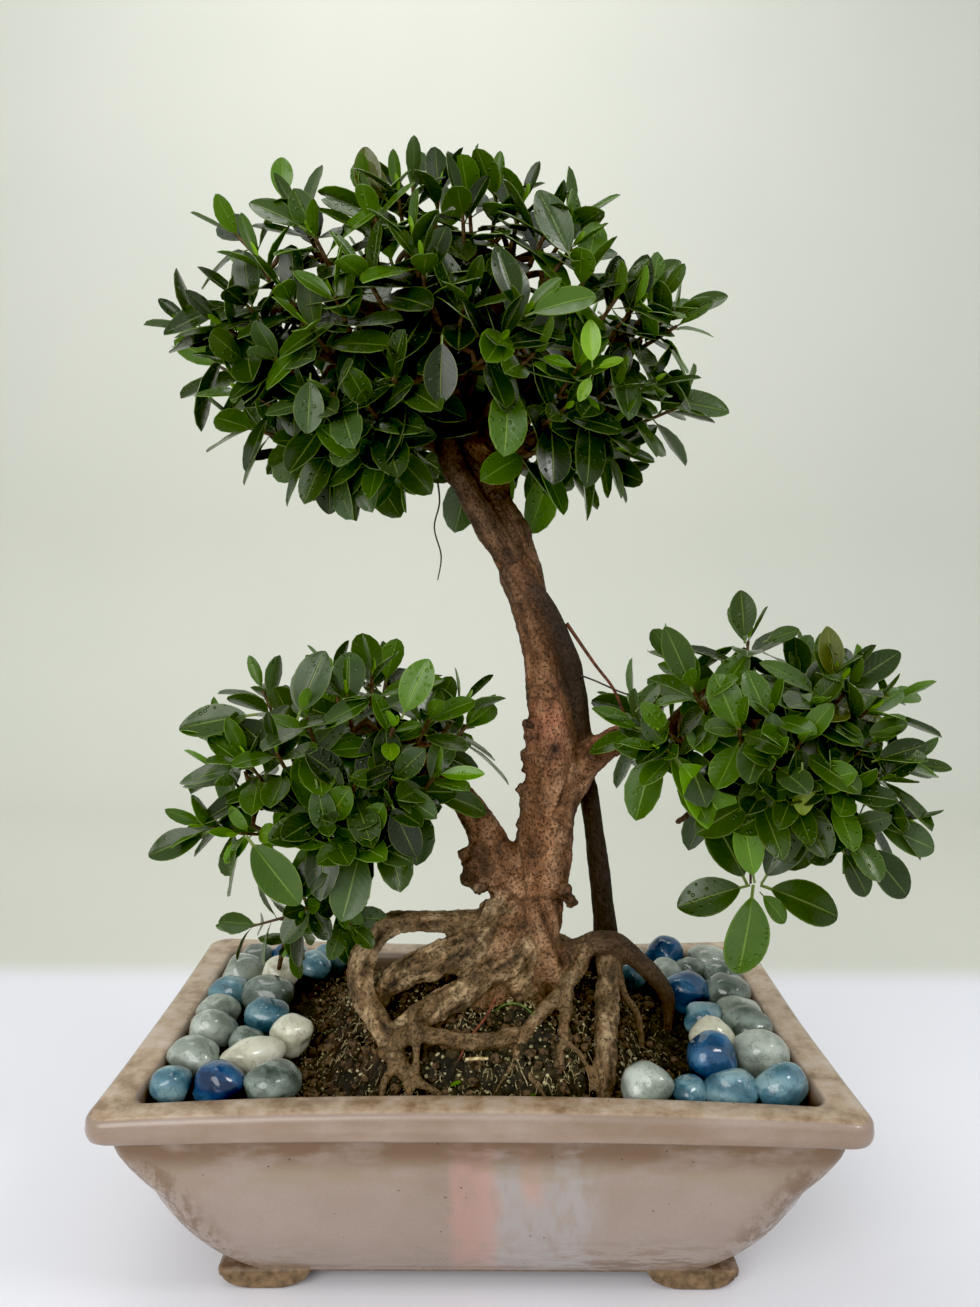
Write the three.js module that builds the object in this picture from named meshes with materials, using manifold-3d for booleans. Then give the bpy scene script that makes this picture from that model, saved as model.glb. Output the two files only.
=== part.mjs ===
// A fig bonsai in a rectangular glazed pot: millimetres, +Z up, feet on z = 0.
// The tree's wood is one grown solid; each leafy spray, each pebble, the soil,
// the two drain screens and the pot are solids of their own.
import * as THREE from "three";
import { mergeVertices } from "three/addons/utils/BufferGeometryUtils.js";
import Module from "manifold-3d";

const wasm = await Module();
wasm.setup();

// ---- driving dimensions ----
const potWidth = 400; // over the rim, along X
const potDepth = 248; // over the rim, along Y
const potHeight = 129; // feet included
const footHeight = 9.5;
const rimHeight = 15;
const rimTopWidth = 19; // flat top of the rim, front to back
const rimOverhang = 9; // how far the rim stands out from the wall
const longSideBow = 9; // how far the middle of each long side curves inward
const shortSideBow = 2;
const cornerRadius = 12;
const wallThickness = 10;
const baseInset = 54; // the wall's foot, in from the rim's edge
const floorTop = 21;
const drainRadius = 9;
const drainOffset = 78; // each drain hole, out from the middle along X
const screenSize = 34;
const screenThickness = 1.2;
const soilEdge = 116; // soil level along the wall
const moundHeight = 38; // most that the soil rises round the trunk
const gap = 0.3; // clearance between touching pieces
const leafThickness = 1.6;
const shootRadius = 1.5;

// ---- materials ----
const finish = (color, roughness) =>
  new THREE.MeshStandardMaterial({ color, roughness, metalness: 0 });
const glaze = finish(0xb9a698, 0.35);
const plastic = finish(0x1c1d1c, 0.6);
const earth = finish(0x33291f, 1);
const bark = finish(0x7a5d45, 0.85);
const greenLeaf = finish(0x2f5226, 0.4);
const stoneColours = {
  blue: 0x2c5f8c,
  pale: 0xa9bcc2,
  teal: 0x4e8196,
  grey: 0x8b948f,
  cream: 0xd9d8c8,
};

const v3 = (x, y, z) => new THREE.Vector3(x, y, z);

// ---- closed geometry to and from a solid ----
function solidOf(geometry) {
  const bare = geometry.clone();
  bare.deleteAttribute("normal");
  bare.deleteAttribute("uv");
  const merged = mergeVertices(bare, 1e-4);
  return new wasm.Manifold(
    new wasm.Mesh({
      numProp: 3,
      vertProperties: merged.attributes.position.array,
      triVerts: new Uint32Array(merged.index.array),
    }),
  );
}

function geometryOf(solid) {
  const mesh = solid.getMesh();
  const geometry = new THREE.BufferGeometry();
  const positions = new THREE.BufferAttribute(mesh.vertProperties, 3);
  geometry.setAttribute("position", positions);
  geometry.setIndex(new THREE.BufferAttribute(mesh.triVerts, 1));
  geometry.computeVertexNormals();
  return geometry;
}

const group = new THREE.Group();

function addPiece(name, geometry, material) {
  const piece = new THREE.Mesh(geometry, material);
  piece.name = name;
  group.add(piece);
  return piece;
}

// ---- the pot ----
// Plan outline, counter-clockwise from the middle of the front side: four rounded
// corners joined by sides, all moved in by an inset. The sides are straight at the
// pot's base and bow inward more and more up to the rim.
const bowStart = 12; // height at which the sides begin to bow
const cornerSteps = 3;
const sideSteps = 4;
const outlineCount = 4 * (cornerSteps + sideSteps);

function outline(inset, height) {
  const bowed = THREE.MathUtils.clamp((height - bowStart) / (potHeight - rimHeight - bowStart), 0, 1);
  const halfX = potWidth / 2 - inset;
  const halfY = potDepth / 2 - inset;
  const radius = Math.max(cornerRadius - inset * 0.2, 4);
  const points = [];
  for (let side = 0; side < 4; side++) {
    const turn = (side * Math.PI) / 2;
    const along = side % 2 ? halfY : halfX;
    const out = side % 2 ? halfX : halfY;
    const mostBow = bowed * (side % 2 ? shortSideBow : longSideBow);
    for (let i = 0; i <= sideSteps; i++) {
      const s = (2 * i) / sideSteps - 1;
      const bow = mostBow * (1 - s * s);
      points.push([turn, s * (along - radius), bow - out]);
    }
    for (let i = 1; i < cornerSteps; i++) {
      const a = (i / cornerSteps) * (Math.PI / 2);
      const x = along - radius + radius * Math.sin(a);
      points.push([turn, x, radius - out - radius * Math.cos(a)]);
    }
  }
  return points.map(([turn, x, y]) => [
    x * Math.cos(turn) - y * Math.sin(turn),
    x * Math.sin(turn) + y * Math.cos(turn),
  ]);
}

// A closed solid from [inset, z] rings, its first and last rings on the axis.
function stackOfOutlines(rings, height = (x, y, z) => z) {
  const profile = rings.map(([, z]) => new THREE.Vector2(1, z));
  const lathe = new THREE.LatheGeometry(profile, outlineCount);
  const position = lathe.attributes.position;
  rings.forEach(([inset, z], j) => {
    const points = inset === null ? null : outline(inset, z);
    for (let k = 0; k <= outlineCount; k++) {
      const [x, y] = points ? points[k % outlineCount] : [0, 0];
      position.setXYZ(k * rings.length + j, x, y, height(x, y, z));
    }
  });
  return lathe;
}

// The wall's curve from its foot to just under the rim, as [inset, z].
const wallCurve = new THREE.QuadraticBezierCurve(
  new THREE.Vector2(baseInset, footHeight + 2.5),
  new THREE.Vector2(23.5, 43.5),
  new THREE.Vector2(rimOverhang, potHeight - rimHeight),
);

function potSolid() {
  const rimBottom = potHeight - rimHeight;
  const outer = wallCurve.getPoints(5).map((p) => [p.x, p.y]);
  const innerTop = rimTopWidth + 3;
  const inner = wallCurve.getPoints(3).map((p) => [p.x + wallThickness + 3, p.y]);
  const rings = [
    [null, footHeight],
    [baseInset + 4, footHeight],
    ...outer,
    [2, rimBottom + 1],
    [0, rimBottom + 4],
    [0, potHeight - 5],
    [1.5, potHeight - 1.5],
    [4, potHeight],
    [rimTopWidth - 2, potHeight],
    [rimTopWidth + 1, potHeight - 2.5],
    ...inner.reverse().filter(([, z]) => z > floorTop + 3),
    [baseInset + 8, floorTop],
    [null, floorTop],
  ].map(([inset, z]) => [z > 100 && inset > innerTop ? innerTop : inset, z]);
  let solid = solidOf(stackOfOutlines(rings));
  for (const sideX of [-1, 1]) {
    for (const sideY of [-1, 1]) {
      solid = solid.add(foot(sideX, sideY));
    }
    const hole = new THREE.CylinderGeometry(drainRadius, drainRadius, 60, 20);
    hole.rotateX(Math.PI / 2);
    hole.translate(sideX * drainOffset, 0, 10);
    solid = solid.subtract(solidOf(hole));
  }
  return solid;
}

// One corner foot: two bracket-shaped plates that cross at the corner.
const footLength = 46;
const footPlate = 15;

function footBracket() {
  const face = new THREE.Shape();
  face.moveTo(0, footHeight + 4);
  face.quadraticCurveTo(3, 2, 12, 0);
  face.lineTo(29, 0);
  face.quadraticCurveTo(41, 1, footLength, footHeight + 4);
  face.closePath();
  const settings = { depth: footPlate, bevelEnabled: false, curveSegments: 4 };
  const plate = new THREE.ExtrudeGeometry(face, settings);
  plate.rotateX(Math.PI / 2);
  plate.translate(0, footPlate, 0);
  return plate;
}

function foot(sideX, sideY) {
  const startX = potWidth / 2 - baseInset - 1;
  const startY = potDepth / 2 - baseInset - 1;
  const alongX = footBracket().translate(-startX, -startY, 0);
  const alongY = footBracket().rotateZ(Math.PI / 2);
  alongY.translate(footPlate - startX, -startY, 0);
  const turned = (g) => (sideX * sideY < 0 ? mirrored(g) : g);
  const place = (g) => turned(g).rotateZ(sideY > 0 ? Math.PI : 0);
  return solidOf(place(alongX)).add(solidOf(place(alongY)));
}

// The geometry mirrored in X, its faces turned back to point out.
function mirrored(geometry) {
  const flipped = geometry.index ? geometry.toNonIndexed() : geometry.clone();
  flipped.scale(-1, 1, 1);
  const p = flipped.attributes.position;
  for (let i = 0; i < p.count; i += 3) {
    const b = v3().fromBufferAttribute(p, i + 1);
    const c = v3().fromBufferAttribute(p, i + 2);
    p.setXYZ(i + 1, c.x, c.y, c.z);
    p.setXYZ(i + 2, b.x, b.y, b.z);
  }
  return flipped;
}

// ---- drain screens, lying over the holes inside the pot ----
function drainScreen(offset) {
  const sheet = new THREE.BoxGeometry(screenSize, screenSize, screenThickness);
  const pitch = screenSize / 3;
  const opening = pitch * 0.7;
  let solid = solidOf(sheet);
  for (const i of [-0.5, 0.5]) {
    for (const j of [-0.5, 0.5]) {
      const cutter = new THREE.BoxGeometry(opening, opening, screenThickness * 3);
      cutter.translate(i * pitch, j * pitch, 0);
      solid = solid.subtract(solidOf(cutter));
    }
  }
  const screen = geometryOf(solid);
  return screen.translate(offset, 0, floorTop + gap + screenThickness / 2);
}

// ---- limbs: tapered tubes along a curve through [x, y, z, radius] points ----
function limb(route, sides, steps, swell = 0) {
  const points = route.map(([x, y, z]) => v3(x, y, z));
  const curve = new THREE.CatmullRomCurve3(points, false, "centripetal");
  const frames = curve.computeFrenetFrames(steps, false);
  const tube = new THREE.CylinderGeometry(1, 1, 1, sides, steps);
  const position = tube.attributes.position;
  for (let i = 0; i < position.count; i++) {
    const step = Math.round((0.5 - position.getY(i)) * steps);
    const t = curve.getUtoTmapping(step / steps) * (route.length - 1);
    const from = Math.min(Math.floor(t), route.length - 2);
    const here = route[from][3];
    const radius = here + (route[from + 1][3] - here) * (t - from) + swell;
    const point = curve.getPointAt(step / steps);
    point.addScaledVector(frames.normals[step], position.getX(i) * radius);
    point.addScaledVector(frames.binormals[step], position.getZ(i) * radius);
    if (step === 0) point.addScaledVector(frames.tangents[0], -swell);
    if (step === steps) point.addScaledVector(frames.tangents[steps], swell);
    position.setXYZ(i, point.x, point.y, point.z);
  }
  return solidOf(tube);
}

// The wood, as routes of [x, y, z, radius] from its thick end, with sides and steps.
const woodRoutes = {
  trunk: {
    sides: 8,
    steps: 14,
    route: [
      [14, -4, 60, 12], [18, -6, 118, 28], [19, -6, 150, 25], [24, -4, 177, 23],
      [31, 0, 200, 20.5], [36, 2, 222, 18.5], [40, 2, 255, 17.8],
      [42, 2, 285, 17], [40, 3, 320, 14.2], [36, 4, 346, 12.4], [31, 4, 368, 11.5],
      [18, 4, 415, 14.4], [5, 4, 442, 15.6], [-6, 4, 466, 16], [-15, 4, 486, 15.5],
      [-24, 3, 510, 12],
    ],
  },
  aerialRoot: {
    sides: 5,
    steps: 9,
    route: [
      [12, -10, 409, 4.5], [33, -13, 386, 5.9], [46, -10, 362, 6.5],
      [54, -4, 338, 7], [58, 5, 312, 7.2], [62, 17, 282, 6.9], [68, 22, 258, 6.7],
      [73, 24, 225, 7], [77, 24, 193, 7.7], [81, 20, 155, 8.3], [84, 20, 105, 6],
    ],
  },
  rightBranch: {
    sides: 5,
    steps: 6,
    route: [
      [44, 2, 258, 13], [65, 2, 288, 10], [81, 2, 300, 9], [99, 2, 304, 7.6],
      [122, -2, 307, 6], [146, -5, 309, 5], [168, -8, 312, 4], [186, -8, 312, 3.2],
    ],
  },
  rightTopTwig: {
    sides: 4,
    steps: 3,
    route: [[112, -1, 306, 5], [122, -8, 322, 4], [136, -10, 334, 3.4], [148, -10, 344, 2.8]],
  },
  rightLowTwig: {
    sides: 4,
    steps: 3,
    route: [[120, -2, 307, 4.5], [142, -8, 290, 3.8], [157, -14, 268, 3.2], [157, -20, 248, 2.4]],
  },
  rightOuterTwig: {
    sides: 4,
    steps: 3,
    route: [[160, -7, 311, 4], [188, -18, 290, 3], [206, -26, 276, 2.4]],
  },
  rightStub: {
    sides: 4,
    steps: 2,
    route: [[136, -8, 297, 3], [128, -20, 268, 2.6], [113, -26, 256, 2.2]],
  },
  leftBranch: {
    sides: 6,
    steps: 6,
    route: [
      [24, 0, 196, 15], [14, 0, 216, 13.5], [5, 0, 236, 11.8], [-5, 0, 254, 9.8],
      [-16, -2, 271, 8.5], [-26, -4, 285, 7.3], [-41, -6, 296, 6], [-60, -12, 304, 4.4],
    ],
  },
  leftOuterTwig: {
    sides: 4,
    steps: 4,
    route: [[-41, -6, 295, 5], [-70, -20, 288, 4], [-102, -32, 276, 3.2], [-128, -40, 267, 2.6]],
  },
  leftLowTwig: {
    sides: 4,
    steps: 3,
    route: [[-20, -3, 277, 5], [-42, -16, 268, 4], [-64, -26, 256, 3.2], [-74, -30, 246, 2.6]],
  },
  leftHangingTwig: {
    sides: 4,
    steps: 3,
    route: [
      [-94, -29, 281, 5], [-104, -30, 255, 3], [-104, -27, 228, 2.6], [-110, -22, 202, 2.2],
    ],
  },
  crownLeft: {
    sides: 4,
    steps: 3,
    route: [[-12, 3, 478, 11], [-50, -12, 508, 7.5], [-88, -18, 524, 5], [-122, -20, 528, 3.2]],
  },
  crownUpperLeft: {
    sides: 4,
    steps: 3,
    route: [[-20, 3, 496, 11], [-48, -8, 532, 7], [-76, -14, 560, 5], [-92, -14, 578, 3.2]],
  },
  crownLowerLeft: {
    sides: 4,
    steps: 3,
    route: [[-8, 2, 470, 9], [-40, -10, 482, 6], [-72, -16, 484, 4.2], [-92, -16, 480, 3]],
  },
  crownTop: {
    sides: 4,
    steps: 3,
    route: [[-22, 4, 500, 11], [-34, 2, 542, 7], [-42, -4, 574, 4.6], [-44, -8, 592, 3.2]],
  },
  crownUpperRight: {
    sides: 4,
    steps: 3,
    route: [[-20, 4, 500, 10], [-4, 0, 538, 6.6], [8, -6, 562, 4.6], [14, -8, 580, 3.2]],
  },
  crownRight: {
    sides: 4,
    steps: 3,
    route: [[-12, 4, 482, 10], [20, 2, 514, 6.8], [48, -8, 530, 5], [72, -14, 536, 3.2]],
  },
  crownLowerRight: {
    sides: 4,
    steps: 3,
    route: [[0, 4, 452, 9], [26, 2, 478, 6], [48, -2, 488, 4.4], [66, -6, 492, 3]],
  },
  crownFront: {
    sides: 4,
    steps: 3,
    route: [[-16, 0, 488, 9], [-22, -24, 510, 6], [-24, -44, 532, 3.4]],
  },
  crownBackLeft: {
    sides: 4,
    steps: 3,
    route: [[-18, 8, 492, 9], [-46, 36, 520, 6], [-68, 56, 540, 3.2]],
  },
  crownBackRight: {
    sides: 4,
    steps: 3,
    route: [[-14, 8, 486, 9], [10, 40, 516, 6], [28, 60, 538, 3.2]],
  },
  archRootLeft: {
    sides: 5,
    steps: 9,
    route: [
      [12, -8, 184, 8], [-6, -14, 192, 6.6], [-27, -20, 194, 6.2], [-47, -26, 197, 6.2],
      [-61, -32, 192, 6.6], [-68, -38, 180, 6.8], [-71, -42, 169, 6.8],
      [-68, -47, 158, 6.6], [-61, -53, 149, 6.2], [-50, -62, 137, 5.8],
      [-43, -67, 128, 5], [-35, -73, 117, 3.8], [-32, -76, 106, 3],
    ],
  },
  fatRoot: {
    sides: 6,
    steps: 4,
    route: [
      [10, -8, 200, 9], [0, -24, 187, 8.6], [-13, -30, 180, 8.6], [-29, -34, 176, 8],
      [-45, -38, 170, 7], [-60, -38, 156, 5.5], [-66, -34, 130, 4],
    ],
  },
  frontRoot: {
    sides: 5,
    steps: 5,
    route: [
      [28, -12, 182, 10], [17, -26, 173, 7], [0, -35, 169, 6.5], [-12, -43, 161, 7.2],
      [-26, -48, 154, 7.2], [-40, -52, 149, 6.4], [-52, -55, 136, 5], [-56, -56, 112, 3],
    ],
  },
  lowRoot: {
    sides: 4,
    steps: 3,
    route: [[24, -52, 139, 5], [-3, -62, 140, 5.2], [-36, -64, 145, 4.6], [-58, -60, 130, 3.4]],
  },
  thinRoot: {
    sides: 4,
    steps: 3,
    route: [[-33, -52, 158, 2.8], [-38, -62, 157, 2.8], [-37, -69, 145, 2.6], [-33, -76, 114, 2]],
  },
  archRootRight: {
    sides: 5,
    steps: 6,
    route: [
      [36, -6, 164, 8], [58, -14, 175, 6.4], [68, -18, 182, 5.8], [79, -16, 180, 5.4],
      [90, -12, 171, 5.2], [103, -8, 158, 5], [113, -2, 145, 4.6], [118, 4, 130, 4],
      [118, 6, 110, 3],
    ],
  },
  slantRoot: {
    sides: 5,
    steps: 4,
    route: [
      [66, -17, 181, 5.6], [57, -23, 167, 5], [47, -33, 156, 4.8], [34, -44, 148, 4.6],
      [24, -55, 139, 4.4], [20, -65, 130, 3.6], [24, -74, 112, 2.6],
    ],
  },
  pillarRoot: {
    sides: 5,
    steps: 4,
    route: [
      [77, -12, 176, 6.4], [75, -24, 156, 7.2], [73, -40, 146, 7.4], [71, -57, 136, 7.2],
      [69, -70, 126, 6.2], [68, -78, 108, 4.5],
    ],
  },
  gnarledRoot: {
    sides: 4,
    steps: 3,
    route: [[50, -32, 158, 4], [47, -54, 141, 3.6], [43, -65, 130, 3.2], [45, -72, 108, 2.4]],
  },
  sideRoot: {
    sides: 4,
    steps: 2,
    route: [[80, -14, 166, 4], [86, -18, 150, 3.2], [94, -18, 136, 2.8], [98, -18, 114, 2]],
  },
  buriedRoots: [
    [[10, -6, 128, 16], [-40, 22, 100, 9], [-92, 40, 66, 4], [-120, 44, 46, 2]],
    [[22, -2, 128, 16], [64, 34, 98, 8], [104, 48, 62, 4], [124, 44, 44, 2]],
    [[18, -10, 122, 14], [6, -40, 92, 8], [-30, -54, 58, 4], [-64, -50, 44, 2]],
    [[22, -8, 122, 14], [52, -40, 90, 7], [92, -52, 60, 3.6], [112, -46, 44, 2]],
  ],
};

function woodSolid(swell) {
  const { buriedRoots, ...routes } = woodRoutes;
  const limbs = Object.values(routes).map((r) => limb(r.route, r.sides, r.steps, swell));
  limbs.push(...buriedRoots.map((route) => limb(route, 4, 3, swell)));
  return limbs.reduce((whole, next) => whole.add(next));
}

// ---- soil: level along the wall, a steep-sided mound round the roots ----
const moundReach = { x: 99, y: 84 };
const moundShoulder = 26; // distance in from the mound's edge over which it rises

function soilHeight(x, y, z) {
  if (z < soilEdge) return z;
  const q = (Math.abs(x) / moundReach.x) ** 3 + (Math.abs(y) / moundReach.y) ** 3;
  const inside = Math.max(0, 1 - Math.cbrt(q)) * moundReach.y;
  const rise = moundHeight * (1 - Math.exp(-inside / moundShoulder));
  const lumps = Math.sin(x * 0.11) * Math.cos(y * 0.13) * Math.min(1, rise / 6);
  return z + rise + lumps;
}

function soilSolid(wood, screens) {
  const wallGap = wallThickness + 3 + 6 * gap;
  const side = wallCurve.getPoints(3).map((p) => [p.x + wallGap, p.y]);
  const top = [24, 34, 48, 66, 92];
  const rings = [
    [null, floorTop + gap],
    [baseInset + 9, floorTop + gap],
    ...side.filter(([inset, z]) => z > floorTop + 3 && z < soilEdge - 8 && inset > top[0]),
    [top[0], potHeight - rimHeight],
    ...top.map((inset) => [inset, soilEdge]),
    [null, soilEdge],
  ];
  let soil = solidOf(stackOfOutlines(rings, soilHeight)).subtract(wood);
  for (const screen of screens) {
    soil = soil.subtract(screen);
  }
  return soil;
}

// ---- pebbles ----
// [x, y, z, width, depth, height, turn about Z in degrees, colour]
const pebbleRows = {
  left: [
    [-168, 56, 129, 27, 24, 24, 10, "pale"],
    [-159, 86, 128, 24, 20, 18, 20, "grey"],
    [-134, 86, 128, 28, 22, 22, -15, "blue"],
    [-108, 86, 127, 24, 20, 20, 0, "teal"],
    [-138, 52, 131, 25, 22, 20, 15, "cream"],
    [-116, 64, 132, 22, 20, 18, -20, "teal"],
    [-168, 26, 128, 23, 22, 21, 30, "teal"],
    [-139, 21, 129, 33, 24, 23, 5, "grey"],
    [-131, -6, 129, 28, 22, 20, -10, "teal"],
    [-169, 1, 127, 24, 20, 19, 0, "pale"],
    [-160, -26, 129, 28, 24, 24, 20, "pale"],
    [-111, -33, 129, 24, 22, 23, 30, "cream"],
    [-136, -34, 126, 20, 18, 16, 0, "grey"],
    [-162, -55, 128, 29, 22, 20, -10, "pale"],
    [-128, -57, 128, 36, 19, 19, 32, "cream"],
    [-170, -85, 127, 21, 20, 18, 0, "teal"],
    [-143, -86, 128, 27, 22, 22, -5, "blue"],
    [-112, -86, 128, 27, 24, 22, 10, "grey"],
  ],
  right: [
    [132, 88, 131, 24, 22, 27, 0, "blue"],
    [108, 86, 127, 22, 20, 19, 10, "teal"],
    [160, 90, 128, 30, 22, 20, -10, "pale"],
    [151, 64, 128, 21, 20, 17, 0, "grey"],
    [127, 62, 128, 22, 20, 20, 20, "pale"],
    [107, 66, 126, 22, 20, 18, 0, "teal"],
    [174, 60, 129, 26, 22, 21, 30, "grey"],
    [172, 32, 129, 26, 25, 24, 0, "grey"],
    [143, 31, 129, 31, 25, 24, -12, "blue"],
    [172, 5, 127, 27, 20, 17, 8, "pale"],
    [168, -22, 129, 28, 24, 23, 0, "grey"],
    [139, -4, 128, 25, 20, 18, 15, "teal"],
    [141, -32, 129, 26, 23, 23, 0, "cream"],
    [134, -60, 131, 28, 24, 25, -10, "blue"],
    [166, -56, 130, 31, 25, 26, 0, "pale"],
    [92, -88, 128, 27, 23, 23, 0, "pale"],
    [114, -85, 125, 17, 18, 15, 0, "teal"],
    [139, -88, 127, 27, 22, 19, 0, "teal"],
    [169, -88, 129, 27, 20, 22, 12, "teal"],
  ],
};

// How far a pebble reaches from its centre towards a direction, as an ellipsoid.
function reach(stone, direction) {
  const turned = direction.clone().applyAxisAngle(v3(0, 0, 1), -stone.turn);
  return 1 / Math.hypot(...turned.divide(stone.half).toArray());
}

// The highest soil beneath a pebble.
function groundUnder(stone) {
  const spots = [[0, 0], [1, 0], [-1, 0], [0, 1], [0, -1]];
  const heights = spots.map(([u, v]) =>
    soilHeight(stone.at.x + u * stone.half.x, stone.at.y + v * stone.half.y, soilEdge),
  );
  return Math.max(...heights);
}

// Pushes the pebbles apart, off the wall and up onto the soil, until none overlap.
function settle(stones) {
  const wallX = potWidth / 2 - rimTopWidth - 4 - shortSideBow;
  const wallY = potDepth / 2 - rimTopWidth - 4 - longSideBow / 2;
  for (let round = 0; round < 300; round++) {
    stones.forEach((a, i) => {
      stones.slice(i + 1).forEach((b) => {
        const apart = b.at.clone().sub(a.at);
        const distance = apart.length();
        apart.normalize();
        const short = reach(a, apart) + reach(b, apart) + 2 * gap - distance;
        if (short <= 0) return;
        apart.z *= 0.4;
        a.at.addScaledVector(apart, -short * 0.3);
        b.at.addScaledVector(apart, short * 0.3);
      });
      const roomX = wallX - reach(a, v3(1, 0, 0));
      const roomY = wallY - reach(a, v3(0, 1, 0));
      a.at.x = THREE.MathUtils.clamp(a.at.x, -roomX, roomX);
      a.at.y = THREE.MathUtils.clamp(a.at.y, -roomY, roomY);
      a.at.z = Math.max(a.at.z, groundUnder(a) + a.half.z + gap);
    });
  }
}

function pebble(stone) {
  const shape = new THREE.SphereGeometry(0.99, 7, 5);
  shape.rotateX(Math.PI / 2);
  shape.scale(...stone.half.toArray());
  shape.rotateZ(stone.turn);
  shape.translate(...stone.at.toArray());
  return shape;
}

// ---- leafy sprays ----
// Each spray grows from a hub at a limb's end; its shoots are [x, y, z] leaf clusters.
const sprays = {
  crown_spray_left: {
    hub: [-122, -20, 529],
    shoots: [
      [-168, -30, 538], [-138, -58, 545], [-134, -55, 511], [-96, -78, 528],
      [-150, 10, 545],
    ],
  },
  crown_spray_upper_left: {
    hub: [-92, -14, 579],
    shoots: [
      [-145, -25, 590], [-118, 10, 622], [-100, -46, 606], [-86, -66, 576], [-122, -52, 568],
    ],
  },
  crown_spray_lower_left: {
    hub: [-92, -16, 479],
    shoots: [
      [-132, -45, 498], [-96, -68, 494], [-140, -24, 484], [-112, -24, 462],
      [-76, -54, 468], [-88, 0, 452], [-54, -30, 458],
    ],
  },
  crown_spray_top: {
    hub: [-44, -8, 593],
    shoots: [[-68, -38, 620], [-45, -44, 622], [-40, -12, 634], [-24, -42, 620], [-60, 25, 615]],
  },
  crown_spray_upper_right: {
    hub: [14, -8, 581],
    shoots: [[-8, -56, 600], [6, -32, 620], [24, -44, 612], [50, -44, 598], [30, 24, 605]],
  },
  crown_spray_front: {
    hub: [-24, -45, 533],
    shoots: [[-42, -82, 568], [20, -84, 532], [-30, -84, 505], [-62, -82, 540]],
  },
  crown_spray_right: {
    hub: [72, -14, 537],
    shoots: [
      [52, -64, 570], [74, -60, 548], [98, -42, 554], [106, -34, 534], [104, 20, 545],
    ],
  },
  crown_spray_lower_right: {
    hub: [67, -6, 492],
    shoots: [
      [52, -68, 512], [92, -36, 506], [122, 6, 502], [66, -40, 478], [78, 2, 466],
      [36, -14, 456],
    ],
  },
  crown_spray_back_left: {
    hub: [-69, 57, 541],
    shoots: [
      [-135, 45, 555], [-108, 84, 540], [-64, 102, 562], [-70, 60, 600],
      [-116, 58, 500], [-66, 90, 498],
    ],
  },
  crown_spray_back_right: {
    hub: [28, 61, 539],
    shoots: [
      [-16, 104, 560], [30, 102, 552], [72, 78, 550], [20, 62, 596],
      [-14, 88, 500], [40, 84, 498], [84, 52, 500],
    ],
  },
  left_spray_top: {
    hub: [-61, -12, 305],
    shoots: [
      [-95, -64, 325], [-66, -36, 346], [-46, -62, 318], [-16, 8, 322], [-26, -52, 290],
      [-64, 44, 318],
    ],
  },
  left_spray_outer: {
    hub: [-129, -40, 268],
    shoots: [[-148, -48, 308], [-126, -68, 300], [-166, -50, 262], [-134, -72, 258], [-134, 20, 286]],
  },
  left_spray_low: {
    hub: [-75, -30, 245],
    shoots: [[-46, -70, 268], [-76, -78, 274], [-54, -68, 246], [-72, -62, 226], [-76, 30, 262]],
  },
  left_spray_hanging: {
    hub: [-110, -22, 201],
    shoots: [[-100, -54, 212], [-86, -42, 194], [-142, -18, 188], [-116, -14, 172]],
  },
  right_spray_inner: {
    hub: [149, -10, 345],
    shoots: [[108, -46, 318], [120, -40, 340], [155, -20, 366], [156, -62, 330], [150, 42, 338]],
  },
  right_spray_outer: {
    hub: [187, -8, 312],
    shoots: [
      [198, -44, 344], [238, -24, 336], [216, -50, 322], [172, -68, 310], [246, -30, 300],
      [200, 46, 318],
    ],
  },
  right_spray_low: {
    hub: [207, -26, 275],
    shoots: [[200, -62, 286], [164, -68, 288], [236, -42, 264], [210, -52, 254], [190, 34, 280]],
  },
  right_spray_hanging: {
    hub: [157, -20, 247],
    shoots: [[156, -34, 220]],
  },
};

// Where a pad's leaves face away from, and how strongly they look up.
const padCentres = {
  crown: v3(-25, 0, 520),
  left: v3(-75, 0, 270),
  right: v3(170, 0, 300),
};
const upwardPull = 0.45;
const leavesPerShoot = 3;
const leafLength = 42;
const leafWidth = 20;
const goldenAngle = THREE.MathUtils.degToRad(137.5);

// A leaf from its base at the origin along +Z: flat below, ridged above towards +Y.
function leaf(length, extra) {
  const shape = new THREE.ConeGeometry(1, 1, 4);
  const p = shape.attributes.position;
  const halfWidth = leafWidth / 2 + extra;
  const widest = length * 0.55;
  for (let i = 0; i < p.count; i++) {
    const [x, y, z] = [p.getX(i), p.getY(i), p.getZ(i)];
    if (y > 0) p.setXYZ(i, 0, leafThickness + extra, widest);
    else if (Math.abs(x) > 0.5) p.setXYZ(i, Math.sign(x) * halfWidth, 0.4, widest);
    else if (Math.abs(z) > 0.5) p.setXYZ(i, 0, -extra, z > 0 ? length : 0);
    else p.setXYZ(i, 0, -extra, widest);
  }
  return shape;
}

// The leaves of one shoot, spiralling down from its tip and opening outwards.
function shootLeaves(tip, axis, phase, extra) {
  const sideways = v3(axis.z, 0.3, -axis.x).cross(axis).normalize();
  const made = [];
  for (let i = 0; i < leavesPerShoot; i++) {
    const round = sideways.clone().applyAxisAngle(axis, phase + i * goldenAngle);
    const opening = THREE.MathUtils.degToRad(36 + 17 * i);
    const direction = axis.clone().multiplyScalar(Math.cos(opening));
    direction.addScaledVector(round, Math.sin(opening));
    const upper = axis.clone().addScaledVector(direction, -axis.dot(direction));
    upper.normalize();
    const base = tip.clone().addScaledVector(axis, -1 - 4.5 * i);
    const across = upper.clone().cross(direction);
    const place = new THREE.Matrix4().makeBasis(across, upper, direction);
    place.setPosition(base);
    const blade = leaf(leafLength * (0.85 + 0.1 * i), extra);
    made.push(solidOf(blade.applyMatrix4(place)));
  }
  return made;
}

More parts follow.
